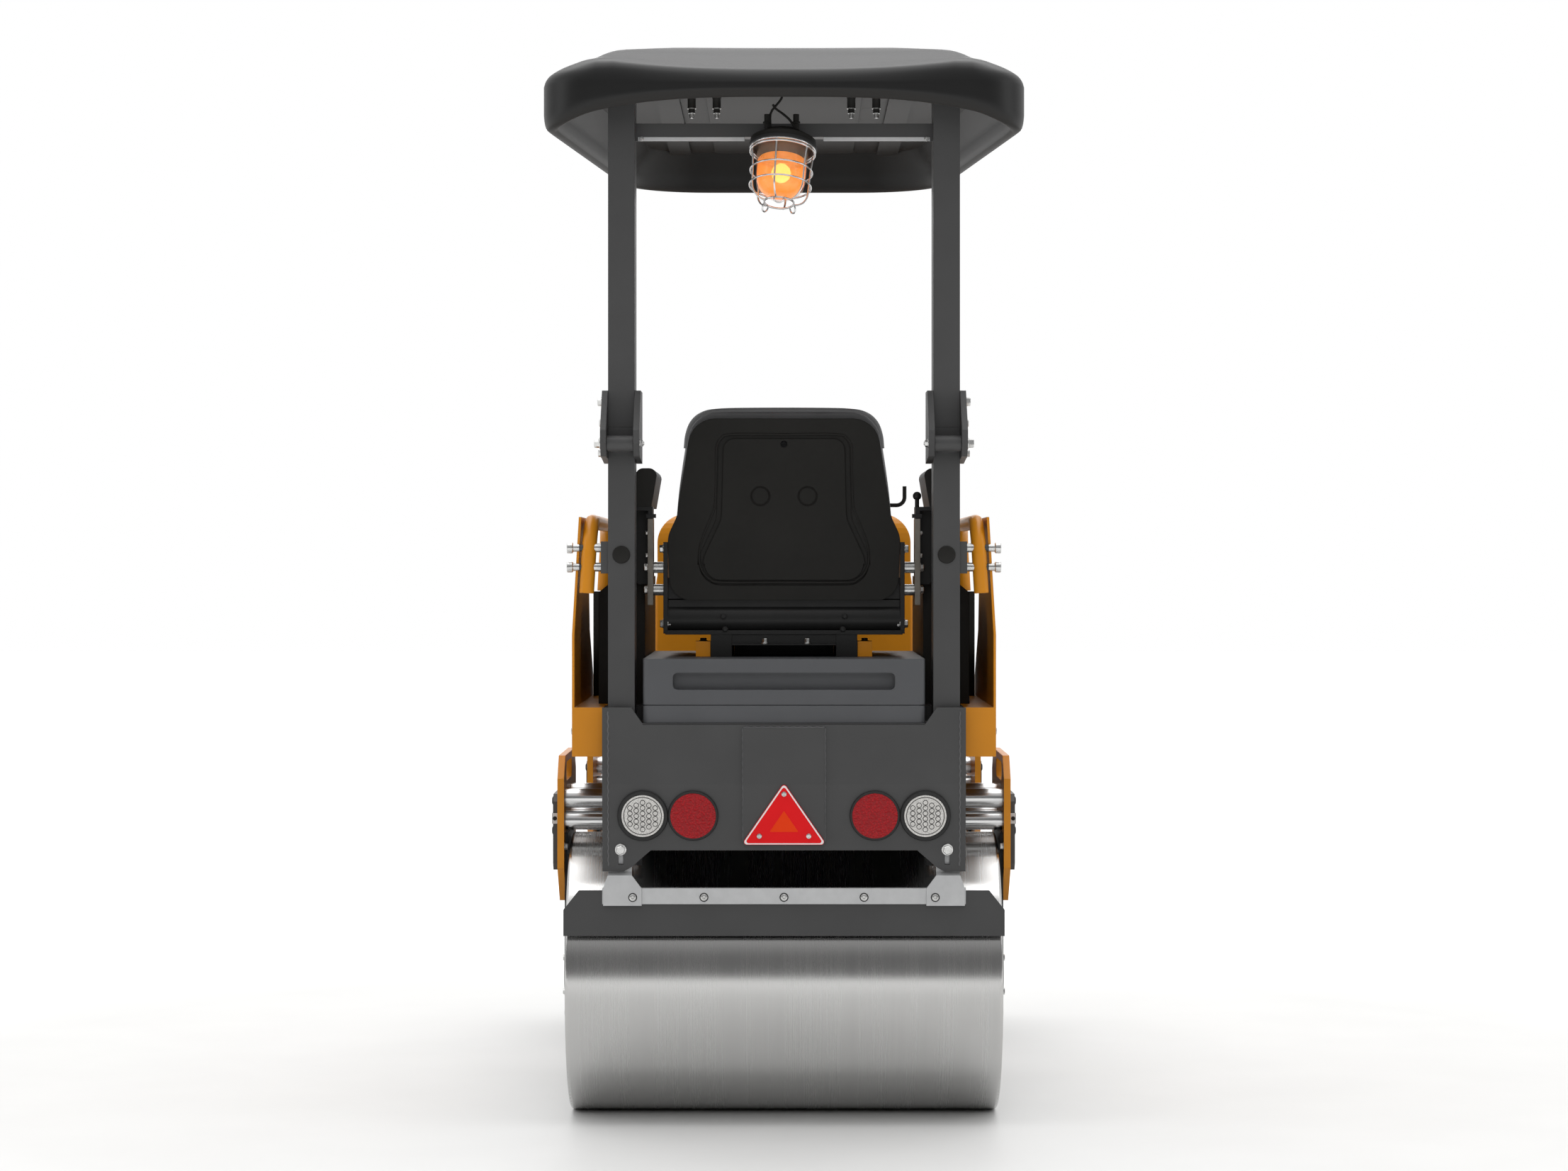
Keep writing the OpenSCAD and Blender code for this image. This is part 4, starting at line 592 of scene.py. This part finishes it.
def roof_row(row, rim):
    """One row of the roof: the rear rim arches and its brow sags between two raised horns."""
    inset, rise, brow_inset, brow_rise, horn_inset, horn_rise = row
    inset, brow_inset = max(0.0, inset), max(0.0, brow_inset)
    ring = []
    for q in roof_ring(inset):
        near = max(0.0, 1 - (q.y - ROOF_REAR - inset) / REAR_R)
        x = abs(q.x)
        brow = near * max(0.0, 1 - (x / REAR_HW) ** 3.2 if rim else 1 - (x / BROW_HW) ** 2.5)
        horn = 0.0 if rim else max(0.0, near - brow) * min(1.0, max(0.0, (HORN_OUT - x) / HORN_SPAN))
        ring.append(rear(q.x, q.y + brow * (brow_inset - inset) + horn * (horn_inset - inset),
                         ROOF_Z + rise + brow * (brow_rise - rise) + horn * (horn_rise - rise)))
    return ring


def sharp_path(rows, steps):
    """The smooth path of rows that hold more than three values each."""
    halves = [smooth_path([Vector(row[k:k + 3]) for row in rows], steps) for k in (0, 3)]
    return [(*a, *b) for a, b in zip(*halves)]


rim_rows = [(LIP * a, -RIM * b, LIP * a, ARCH * c - RIM * b, 0.0, 0.0) for a, b, c in RIM_SHARES]
crown_rows = [(LIP * a, CROWN * b, LIP * c, CROWN * d, *horn)
              for (a, b, c, d), horn in zip(CROWN_SHARES, HORN_ROWS)]
canopy_mesh = Batch("canopy_shell", "roll_bar", moulded, "canopy_plastic", 50)
roof_rings = [roof_row(rim_rows[0], True)] + [roof_row(row, True) for row in sharp_path(rim_rows[1:], 3)]
roof_rings += [roof_row(row, False) for row in sharp_path(crown_rows, 3)]
ring_n = len(roof_rings[0])
centre_y = (ROOF_REAR + ROOF_FRONT) / 2
roof_verts = [v for ring in roof_rings for v in ring]
roof_verts += [rear(0, centre_y, ROOF_Z), rear(0, centre_y, ROOF_Z + CROWN)]
roof_faces = [(low + i, low + ring_n + i, low + ring_n + (i + 1) % ring_n, low + (i + 1) % ring_n)
              for low in range(0, (len(roof_rings) - 1) * ring_n, ring_n) for i in range(ring_n)]
last = (len(roof_rings) - 1) * ring_n
roof_faces += [(i, (i + 1) % ring_n, len(roof_verts) - 2) for i in range(ring_n)]
roof_faces += [(last + (i + 1) % ring_n, last + i, len(roof_verts) - 1) for i in range(ring_n)]
canopy_mesh.add(roof_verts, roof_faces)

# Caged lamp: everything is drawn hanging down from its base's own place
BEACON = (Matrix.Translation(rear(0, -303, 2013.3)) @ Matrix.Rotation(math.radians(4), 4, "Y")
          @ Matrix.Rotation(math.radians(-17), 4, "X"))
BEACON_DOWN = BEACON.to_3x3() @ DOWN


def in_beacon(r, a, h):
    """A point of the lamp: radius and height below its seat in millimetres, and the angle round it."""
    return BEACON @ Vector((r / 1000 * math.cos(a), r / 1000 * math.sin(a), -h / 1000))


def hoop(batch, r, h, wire, n=48):
    tube(batch, [in_beacon(r, 2 * math.pi * i / n, h) for i in range(n)], wire, 8, closed=True)


CAGE_RIB = ((65.2, 36), (62.5, 60), (60.6, 88), (60, 112), (58, 128), (51, 140), (41, 147), (30, 150))
CAGE_HOOK = ((31, -0.3, 150), (34, -0.26, 158), (35, -0.12, 163), (35, 0.12, 163), (34, 0.26, 158),
             (31, 0.3, 150))
cage = Batch("lamp_guard", "roll_bar", bright, "bright_steel")
for h in (35.5, 41.5):
    hoop(cage, 65.2, h, 2.2)
for r, h in ((62.5, 83), (62, 115)):
    hoop(cage, r, h, 1.9)
hoop(cage, 30, 150, 2.1)
for i in range(6):
    a = math.pi * (2 * i + 0.6) / 6
    tube(cage, smooth_path([in_beacon(r, a, h) for r, h in CAGE_RIB], 5), 1.9, 8)
for i in range(3):
    a = 2 * math.pi * i / 3 + 0.5
    tube(cage, smooth_path([in_beacon(r, a + d, h) for r, d, h in CAGE_HOOK], 5), 1.8, 8)

jar = Batch("lamp_jar", "roll_bar", jar_glass, "amber_glass", 60)
lathe(jar, in_beacon(0, 0, 34.3), BEACON_DOWN,
      [(51.5, 0), (52, 6), (51.5, 40), (50.5, 66), (47, 84), (39, 96), (26, 103), (12, 104), (0, 104)], 48)
dome = Batch("lamp_dome", "roll_bar", amber_glass, "amber_glass", 60)
lathe(dome, in_beacon(0, 0, 58), BEACON_DOWN,
      [(47, 0), (49, 4), (49.4, 30), (47.5, 50), (41, 64), (31, 73), (16, 77), (0, 78)], 40)
bulb = Batch("lamp_bulb", "roll_bar", glow, "amber_glass", 60)
lathe(bulb, in_beacon(0, 0, 66), BEACON_DOWN,
      [(0, 0), (10, 2.7), (17.3, 10), (20, 20), (17.3, 30), (10, 37.3), (0, 40)], 32)
lamp_trim = Batch("lamp_trim", "roll_bar", rubber, "black_plastic")
lathe(lamp_trim, in_beacon(0, 0, 26), BEACON_DOWN,
      [(60, 0), (68.5, 1.5), (69, 4), (69, 8), (67, 9.5), (58, 9.5)], 56)

# Feet of the scraper's hangers, bent over its bar, and the beads round the panel under the sign
FOOT_T, PANEL_X, PANEL_TOP = 3.4, 82.5, 813
FOOT = ((308, -294.2, 514), (357, -294.2, 514), (366, -298.2, 488), (288, -298.2, 488), (366, -298.2, 453),
        (288, -298.2, 453))
FOOT_FACES = ((6, 7, 8, 9), (9, 8, 10, 11), (0, 3, 2, 1), (3, 5, 4, 2), (0, 1, 7, 6), (1, 2, 8, 7),
              (2, 4, 10, 8), (4, 5, 11, 10), (5, 3, 9, 11), (3, 0, 6, 9))
for body, place in ENDS:
    feet_of_bar = Batch(f"bar_feet_{body}", body, zinc, "galvanised", 20)
    for sx in (-1, 1):
        feet_of_bar.add([place(sx * x, y - out, z) for out in (0, FOOT_T) for x, y, z in FOOT], FOOT_FACES)
for sx in (-1, 1):
    edge = [rear(sx * (PANEL_X + wobble(k, 0.7)), PLATE_OUT - 0.5, z)
            for k, z in enumerate(range(812, 700, -5))]
    edge += [on_plate(sx * (PANEL_X + wobble(k, 0.7)), 0.5, d) for k, d in enumerate(range(2, 122, 5))]
    tube(beads["rear"], edge, 2.2, 8)
edge = [rear(x, PLATE_OUT - 0.5, PANEL_TOP + 0.7 * math.sin(x * 0.4)) for x in range(-82, 83, 4)]
tube(beads["rear"], edge, 2.2, 8)

# Roll bar: bolts of the fold and of the rails, plugs in the posts, studs and raised fields under the roof
FOLD_BOLTS = ((-225, 1476, 9.5, 10), (-225, 1432, 7.5, 6.5), (-335, 1387, 9.5, 11), (-290, 1368, 7, 5.5))
zinc_trim = batches("zinc_trim", (*HALVES, "roll_bar"), zinc, "galvanised")
black_trim = batches("black_trim", (*HALVES, "roll_bar", "engine_hood", "hand_wheel"), plastic,
                     "black_plastic")
roof_ribs = Batch("roof_ribs", "roll_bar", moulded, "canopy_plastic", 20)
for sx in (-1, 1):
    for y, z, r, h in FOLD_BOLTS:
        hex_bolt(bolts["roll_bar"], rear(sx * 369.3, y, z), RIGHT * sx, r, h, 2)
    nut_stud(bolts["roll_bar"], rear(sx * 290.7, -335, 1387), LEFT * sx, 7)
    for z in (1138, 1177):
        lathe(bolts["rear"], rear(sx * 372, -250, z), RIGHT * sx, [(9, 0), (9, 15.4)], 24)
        lathe(bolts["rear"], rear(sx * 417, -250, z), RIGHT * sx,
              [(8.2, 0), (8.2, 12), (11.4, 14), (11.4, 24), (10.4, 25), (0, 25)], 24)
    lathe(black_trim["rear"], rear(sx * 330, -280, 1163), BACK,
          [(18, 0), (18, 2), (16.5, 3.6), (9, 4.6), (0, 5)], 32)
    for x in (137, 188):
        at = rear(sx * x, -250, ROOF_Z)
        lathe(black_trim["roll_bar"], at, DOWN, [(9.5, 0), (9.5, 6), (8.5, 8), (8.5, 27), (0, 27)], 20)
        lathe(bolts["roll_bar"], at + DOWN * 0.027, DOWN, [(9.2, 0), (9.2, 1.6), (0, 1.6)], 20)
        lathe(black_trim["roll_bar"], at + DOWN * 0.0286, DOWN, [(6.6, 0), (6.6, 8), (0, 8)], 6)
        lathe(bolts["roll_bar"], at + DOWN * 0.0366, DOWN, [(7.2, 0), (7.2, 1.6), (0, 1.6)], 20)
        lathe(bolts["roll_bar"], at + DOWN * 0.038, DOWN, [(4.4, 0), (4.4, 9), (3.6, 10), (0, 10)], 12)
    box(zinc_trim["roll_bar"], [sx * 80, sx * 297], [-255.7, -255], [2004.6, 2013])
    hex_bolt(bolts["roll_bar"], rear(sx * 290, -255.5, 2009), BACK, 4, 3, 1)


def roof_panel(x0, x1, y0, y1, t):
    """A raised field of the roof's underside with sloping edges."""
    m = placed(rear(0, 0, ROOF_Z), DOWN, AHEAD)
    r = min(18, (x1 - x0) / 2.2)
    outline = []
    corners_of = ((x1 - r, y1 - r, 0), (x0 + r, y1 - r, 90), (x0 + r, y0 + r, 180), (x1 - r, y0 + r, 270))
    for cx, cy, a0 in corners_of:
        turn = [math.radians(a0 + 18 * k) for k in range(6)]
        outline += [(cx + r * math.cos(a), cy + r * math.sin(a)) for a in turn]
    slab(roof_ribs, outline, m, t, 3.0)


roof_panel(-160, 160, -320, 735, 5)
for sx in (-1, 1):
    roof_panel(*sorted((sx * 214, sx * 263)), -300, 745, 8)

# Seat: links, spacers and bolts, arms under the armrests, a channel under the pan, yellow feet on the tank
LINK_OUT, TANK_TOP = 282.7, 952.2
ARM_OUTLINE = ((282.8, 1100), (304, 1100), (315, 1116), (315, 1259.8), (282.8, 1259.8))
seat_bits = Batch("seat_bits", "rear", black_steel, "black_steel")
links = Batch("seat_links", "rear", link_steel, "bright_steel")
feet = Batch("seat_feet", "rear", yellow, "yellow_paint")
box(seat_bits, [-108, 108], [-119, -70], [979, 1000])
box(seat_bits, [-108, 108], [-134, -119], [976, 979])
box(seat_bits, [-246, 246], [-121.5, -118], [998, 1007])
box(seat_bits, [-105, 105], [40, 240], [TANK_TOP, 999])
box(seat_bits, [-241, 241], [-106, -100], [1030, 1072])
for sx in (-1, 1):
    box(links, [sx * 271.3, sx * LINK_OUT], [-120.7, -59.3], [1059.4, 1238])
    box(seat_bits, [sx * 190, sx * 241], [-106, -100], [1070, 1116])
    box(seat_bits, [sx * 266, sx * 286], [-121.2, -98], [1240, 1248])
    slab(seat_bits, [(sx * x, z) for x, z in ARM_OUTLINE][::sx], placed(rear(0, -52, 0), BACK), 27, 2.5)
    for z in (1090.5, 1137.1):
        lathe(bolts["rear"], rear(sx * 250.6, -90, z), RIGHT * sx, [(11.6, 0), (11.6, 20.6)], 28)
        hex_bolt(bolts["rear"], rear(sx * LINK_OUT, -90, z), RIGHT * sx, 8, 6.5, 2)
        hex_bolt(bolts["rear"], rear(sx * LINK_OUT, -90, z + 72), RIGHT * sx, 5, 4, 1.2)
    hex_bolt(bolts["rear"], rear(sx * 250.3, -100, 1176), RIGHT * sx, 8, 7, 1.6)
    hex_bolt(bolts["rear"], rear(sx * 250.3, -100, 1020), RIGHT * sx, 8, 6, 1.6)
    nut_stud(bolts["rear"], rear(sx * 241.3, -112, 1020), LEFT * sx, 7)
    for x, y, z in ((126, -122, 1036), (122, -121.6, 1009)):
        hex_bolt(dark_bolts["rear"], rear(sx * x, y, z), BACK, 5, 3.5, 1)
    hex_bolt(bolts["rear"], rear(sx * 44 + 4, -127, 979), UP, 5.6, 8.5, 3)
    box(feet, [sx * 152.5, sx * 183], [-112, -40], [TANK_TOP, 984])
    hex_bolt(dark_bolts["rear"], rear(sx * 168, -78, 984), UP, 7, 5)

# A tube along the backrest's upper edge, in paler vinyl as a painted highlight of the pad's top, and a bead
# round the shell's sunk field
top_highlight = Batch("back_top_highlight", "rear", top_highlight_vinyl, "seat_vinyl", 80)
half_edge = [(200, 1385), (197, 1412), (188, 1436), (170, 1452), (140, 1459), (70, 1461)]
upper_edge = [rear(-x, -74, z) for x, z in half_edge] + [rear(x, -74, z) for x, z in reversed(half_edge)]
tube(top_highlight, smooth_path(upper_edge, 5), 9.5, 14)
half_field = [(0, 1413), (110, 1413), (131, 1404), (140, 1385), (141, 1330), (143, 1268), (152, 1240),
              (166, 1206), (174, 1180), (176, 1152), (168, 1127), (152, 1112), (130, 1106), (0, 1106)]
field = half_field + [(-x, z) for x, z in reversed(half_field[1:-1])]
shell_bead = Batch("shell_bead", "rear", plastic, "black_plastic", 80)
field_path = smooth_path([rear(x, -119.4, z) for x, z in field + field[:1]], 4)[:-1]
tube(shell_bead, field_path, 2.6, 10, closed=True)

# Forks: a bracket and a bolt on each cap, buffer bolts inside, hub covers with bolts
HUB_X, HUB_BOLT_R = 456, 92
for body, place in ENDS:
    for sx in (-1, 1):
        box(zinc_trim[body], [sx * 470.4, sx * 483], [-92.5, -60], [604, 626], place)
        back = place(0, -1, 0) - place(0, 0, 0)
        round_bolt(dark_bolts[body], place(sx * 477, -92.5, 615), back, 4.5, 2.5)
        hex_bolt(bolts[body], place(sx * HUB_X, -105, 558), LEFT * sx, 6.5, 6, 1.5)
        lathe(black_trim[body], place(sx * HUB_X, 0, AXLE_Z), RIGHT * sx,
              [(72, 0), (72, 2), (70, 3), (34, 3), (32, 4), (0, 4)], 48)
        for k in range(8):
            a = math.pi * (2 * k + 1) / 8
            at = place(sx * HUB_X, HUB_BOLT_R * math.cos(a), AXLE_Z + HUB_BOLT_R * math.sin(a))
            hex_bolt(bolts[body], at, RIGHT * sx, 7, 3, 1)
        for y in (-70, 120):
            for z in (610, 656):
                lathe(bolts[body], place(sx * 470, y, z), RIGHT * sx,
                      [(0, 0), (12, 0), (12, 1.5), (0, 1.5)], 24)

# Drum heads: a ring of bolts and welded ribs on each recessed head
HEAD_X, HEAD_BOLT_R = 385, 150
HEAD_RIB = ((94, 385), (94, 397), (275, 424), (275, 385))
RIB_FACES = ((0, 1, 2, 3), (4, 7, 6, 5), (0, 4, 5, 1), (1, 5, 6, 2), (2, 6, 7, 3), (3, 7, 4, 0))
for body, place in (("rear_roller", rear), ("front_roller", front)):
    head_bolts = Batch(f"head_bolts_{body}", body, bolt_metal, "bright_steel")
    head_ribs = Batch(f"head_ribs_{body}", body, drum, "drum_steel")
    for sx in (-1, 1):
        for k in range(10):
            a = 2 * math.pi * k / 10
            c, d = math.cos(a), math.sin(a)
            at = place(sx * HEAD_X, HEAD_BOLT_R * c, AXLE_Z + HEAD_BOLT_R * d)
            hex_bolt(head_bolts, at, RIGHT * sx, 9, 7)
        for k in range(5):
            a = 2 * math.pi * (k + 0.5) / 5
            c, d = math.cos(a), math.sin(a)
            verts = [place(sx * x, r * c - t * d, AXLE_Z + r * d + t * c)
                     for t in (-4, 4) for r, x in HEAD_RIB]
            head_ribs.add(verts, RIB_FACES)

# Deck mat, tank cap, dash and wheel cap
MAT_Z, RIB_Z, RIB_STEP = (559.9, 562.5), (562.4, 564.5), 13.2
CAP_X, CAP_Y, CAP_R = -56, 352, 37
mat = Batch("deck_mat", "rear", rubber, "black_plastic")
box(mat, [-280, 280], [334, 690], MAT_Z)
for k in range(26):
    box(mat, [-272, 272], [342 + RIB_STEP * k, 348 + RIB_STEP * k], RIB_Z)
for sx in (-1, 1):
    box(mat, [sx * 300, sx * 412], [440, 690], MAT_Z)
    for k in range(18):
        box(mat, [sx * 306, sx * 406], [448 + RIB_STEP * k, 454 + RIB_STEP * k], RIB_Z)
lathe(black_trim["rear"], rear(CAP_X, CAP_Y, 952), UP,
      [(42, 0), (42, 6), (CAP_R, 8), (CAP_R, 20), (34, 23), (0, 24)], 40)
for k in range(12):
    a = 2 * math.pi * k / 12
    x, y = CAP_X + CAP_R * math.cos(a), CAP_Y + CAP_R * math.sin(a)
    tube(black_trim["rear"], [rear(x, y, z) for z in (961, 971)], 2.4, 6)
gauge_glass = Batch("gauge_faces", "rear", jar_glass, "amber_glass")
for x in (-88, 88):
    at = rear(x, 540, 1100)
    lathe(bolts["rear"], at, UP, [(27, 0), (27, 3), (25, 5), (22.5, 5), (22.5, 2)], 40)
    lathe(black_trim["rear"], at, UP, [(22.5, 2), (0, 2)], 40)
    lathe(gauge_glass, at, UP, [(22.5, 3.4), (12, 4.2), (0, 4.4)], 40)
for x in (-40, 40):
    box(seat_bits, [x - 9, x + 9], [600, 612], [1099.9, 1105])
WHEEL = Matrix.Translation(rear(0, 563, 1100)) @ Matrix.Rotation(math.radians(25), 4, "X")
wheel_axis = WHEEL.to_3x3() @ UP
lathe(black_trim["hand_wheel"], WHEEL @ Vector((0, 0, 0.110)), wheel_axis,
      [(29.5, 0), (34, 3), (34, 8), (30, 13), (12, 15.5), (0, 16)], 40)

# Hood: a fine mesh behind the grille, latches, a lifting handle and rims along the rear edges
MESH_Z, HOOD_X, RIM_Y = (836, 1024), 300, 352
GRIP = ((-70, 365), (-70, 378), (-64, 386), (64, 386), (70, 378), (70, 365))
HOOD_RIM = ((299.5, 768), (300, 820), (300, 900), (299.5, 1000), (298, 1070), (292, 1120), (276, 1160))
mesh_panel = Batch("grille_mesh", "engine_hood", black_steel, "black_steel")
box(mesh_panel, [-198, 198], [-279.5, -277], MESH_Z, front)
for k in range(31):
    x = -195 + 13 * k
    box(mesh_panel, [x - 1.2, x + 1.2], [-281, -279], MESH_Z, front)
hood_trim = black_trim["engine_hood"]
hood_rims = Batch("hood_rims", "engine_hood", yellow, "yellow_paint", 60)
for sx in (-1, 1):
    for y in (300, -180):
        lathe(hood_trim, front(sx * HOOD_X, y, 800), RIGHT * sx, [(20, 0), (20, 2), (17, 3.2), (0, 3.4)], 28)
        box(hood_trim, [sx * HOOD_X, sx * 306], [y - 6, y + 6], [782, 818], front)
    tube(hood_rims, smooth_path([front(sx * x, RIM_Y, z) for x, z in HOOD_RIM], 5), 8, 14)
tube(hood_trim, smooth_path([front(x, y, 905) for x, y in GRIP], 4), 7, 12)

# Nuts of the centre pivot and bolts of the side panels
for z, way in ((440, UP), (300, DOWN)):
    hex_bolt(bolts["rear"], rear(0, 650, z), way, 30, 14, 4)
for sx in (-1, 1):
    for y in (-205, 60, 330, 500):
        round_bolt(bolts["rear"], rear(sx * 432, y, 802), RIGHT * sx, 8, 4.5)

for batch in Batch.all:
    if batch.verts:
        batch.build()
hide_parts("canopy")
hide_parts("lamp_cage")
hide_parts("lamp_lens")


# Seat: each pad starts from its own solid, a little smaller, and is blown up as vinyl over foam
VOXEL, PRESSURE, LAST_FRAME = 0.0055, 4.0, 20


def stuffed(source, name, seams, wall, shrink, swell):
    """Inflates a copy of a solid as cloth held along its seams; wall clamps what would press inwards."""
    cad = nodes[source]
    mesh = cad.data.copy()
    lo, hi = (Vector(v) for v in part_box(source))
    mid = (lo + hi) / 2
    for v in mesh.vertices:
        v.co = mid + Vector(tuple((v.co[k] - mid[k]) * (1 - 2 * shrink / (hi[k] - lo[k])) for k in range(3)))
    obj = bpy.data.objects.new(name, mesh)
    bpy.context.scene.collection.objects.link(obj)
    bpy.context.view_layer.objects.active = obj
    remesh = obj.modifiers.new("closer_mesh", "REMESH")
    remesh.mode = "VOXEL"
    remesh.voxel_size = VOXEL
    bpy.ops.object.modifier_apply(modifier=remesh.name)
    obj.data.materials.clear()
    obj.data.materials.append(seat_vinyl)
    start = [v.co.copy() for v in obj.data.vertices]
    held = obj.vertex_groups.new(name="seams")
    held.add([v.index for v in obj.data.vertices if seams(v.co)], 1.0, "REPLACE")
    cloth = obj.modifiers.new("swelling", "CLOTH")
    cloth.settings.use_pressure = True
    cloth.settings.uniform_pressure_force = PRESSURE
    cloth.settings.effector_weights.gravity = 0
    cloth.settings.vertex_group_mass = "seams"
    cloth.settings.quality = 6
    cloth.collision_settings.use_collision = False
    for f in range(1, LAST_FRAME + 1):
        bpy.context.scene.frame_set(f)
    swollen = obj.evaluated_get(bpy.context.evaluated_depsgraph_get())
    final = [v.co.copy() for v in swollen.data.vertices]
    obj.modifiers.remove(cloth)
    for v, a, b in zip(obj.data.vertices, start, final):
        move = b - a
        if move.length > swell:
            move *= swell / move.length
        v.co = wall(a + move)
    bpy.context.scene.frame_set(1)
    relax = obj.modifiers.new("even", "SMOOTH")
    relax.iterations = 3
    bpy.ops.object.modifier_apply(modifier=relax.name)
    finer = obj.modifiers.new("finer", "SUBSURF")
    finer.levels = finer.render_levels = 1
    bpy.ops.object.modifier_apply(modifier=finer.name)
    obj.data.shade_smooth()
    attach(obj, "rear")
    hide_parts(source)


back_lo, back_hi = (Vector(v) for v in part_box("seat_backrest"))
base_lo, base_hi = (Vector(v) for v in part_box("seat_cushion"))
SEAM, BOLSTER, FACE = 0.004, 0.145, 0.02


def back_seams(p):
    face = p.y > back_hi.y - FACE and p.z < back_hi.z - 0.06
    rows = (back_lo.z + 0.09, back_lo.z + 0.17, back_lo.z + 0.25)
    cross = abs(p.x) < BOLSTER and any(abs(p.z - z) < SEAM for z in rows)
    up = abs(abs(p.x) - BOLSTER) < SEAM and back_lo.z + 0.02 < p.z
    return p.y < back_lo.y + 0.008 or (face and (up or cross))


def base_seams(p):
    top = p.z > base_hi.z - FACE
    along = abs(abs(p.x) - BOLSTER) < SEAM and p.y < base_hi.y - 0.05
    cross = abs(p.x) < BOLSTER and any(abs(p.y - base_lo.y - d) < SEAM for d in (0.1, 0.2, 0.3))
    return p.z < base_lo.z + 0.008 or (top and (along or cross))


stuffed("seat_backrest", "back_pad", back_seams,
        lambda p: Vector((p.x, max(p.y, back_lo.y), p.z)), 0.006, 0.022)
stuffed("seat_cushion", "base_pad", base_seams,
        lambda p: Vector((p.x, max(p.y, back_hi.y - 0.004), max(p.z, base_lo.z))), 0.008, 0.024)

# Camera at the photograph's place: level, straight behind the roller
CAMERA_AT, LENS_MM, SHIFT_Y = (0, -8.123, 1.138), 81.71, -0.01175
cam_data = bpy.data.cameras.new("camera")
cam = bpy.data.objects.new("camera", cam_data)
bpy.context.scene.collection.objects.link(cam)
cam.location = CAMERA_AT
cam.rotation_euler = (math.radians(90), 0, 0)
cam_data.sensor_width = 36
cam_data.lens = LENS_MM
cam_data.shift_y = SHIFT_Y
cam_data.clip_end = 200
bpy.context.scene.camera = cam

# Pale floor and soft studio light
HALF = 40
floor_mesh = bpy.data.meshes.new("floor")
floor_mesh.from_pydata([(-HALF, -HALF, 0), (HALF, -HALF, 0), (HALF, HALF, 0), (-HALF, HALF, 0)], [],
                       [(0, 1, 2, 3)])
floor = bpy.data.objects.new("floor", floor_mesh)
bpy.context.scene.collection.objects.link(floor)
floor_mat, ft, fp = links_of("floor_white")
fp.inputs["Roughness"].default_value = 0.5
fp.inputs["Specular IOR Level"].default_value = 0.25
ft.links.new(ramp(ft, noise(ft, coords(ft), 3), [(0.3, (0.69, 0.69, 0.683)), (0.7, (0.71, 0.71, 0.703))]),
             fp.inputs["Base Color"])
reach = node(ft, "ShaderNodeVectorMath", operation="LENGTH")
ft.links.new(coords(ft), reach.inputs[0])
ft.links.new(span(ft, reach.outputs["Value"], 0.0, 0.4, 1.9, 4.5), fp.inputs["Emission Strength"])
fp.inputs["Emission Color"].default_value = (1, 1, 1, 1)
floor_mesh.materials.append(floor_mat)

# World: brighter overhead and ahead for the object, plain white to the camera
world = bpy.data.worlds.new("studio")
bpy.context.scene.world = world
world.use_nodes = True
wt = world.node_tree
wb = wt.nodes["Background"]
wc = node(wt, "ShaderNodeTexCoord")
ws = node(wt, "ShaderNodeSeparateXYZ")
wt.links.new(wc.outputs["Generated"], ws.inputs[0])
lift = span(wt, ws.outputs["Z"], 0.18, 1.1, 0.3, 1.0)
ahead = span(wt, ws.outputs["Y"], 0.0, 0.6, -0.1, 0.7)
total = node(wt, "ShaderNodeMath", operation="ADD")
wt.links.new(lift, total.inputs[0])
wt.links.new(ahead, total.inputs[1])
path = node(wt, "ShaderNodeLightPath")
seen = node(wt, "ShaderNodeMix", data_type="FLOAT")
wt.links.new(path.outputs["Is Camera Ray"], seen.inputs["Factor"])
wt.links.new(total.outputs[0], seen.inputs["A"])
seen.inputs["B"].default_value = 1.0
wb.inputs["Color"].default_value = (1, 1, 1, 1)
wt.links.new(seen.outputs["Result"], wb.inputs["Strength"])


def area(name, at, aim, size, power, shine=True):
    data = bpy.data.lights.new(name, "AREA")
    data.shape = "RECTANGLE"
    data.size, data.size_y = size
    data.energy = power
    obj = bpy.data.objects.new(name, data)
    bpy.context.scene.collection.objects.link(obj)
    obj.visible_glossy = shine
    obj.location = at
    obj.rotation_euler = (Vector(aim) - Vector(at)).to_track_quat("-Z", "Y").to_euler()


area("top_box", (0, 0.2, 6.0), (0, 0, 0), (6, 6), 230)
area("rear_box", (0, -8.5, 4.0), (0, -0.6, 0.9), (4, 3), 140, shine=False)
area("right_box", (4.5, -1.5, 2.8), (0, 0, 0.9), (2, 3), 26)
area("left_box", (-4.5, -1.5, 2.8), (0, 0, 0.9), (2, 3), 26)
area("front_box", (0, 6.5, 3.5), (0, 0.6, 0.8), (4, 2), 45)

bpy.context.scene.view_settings.view_transform = "Standard"
bpy.context.view_layer.update()
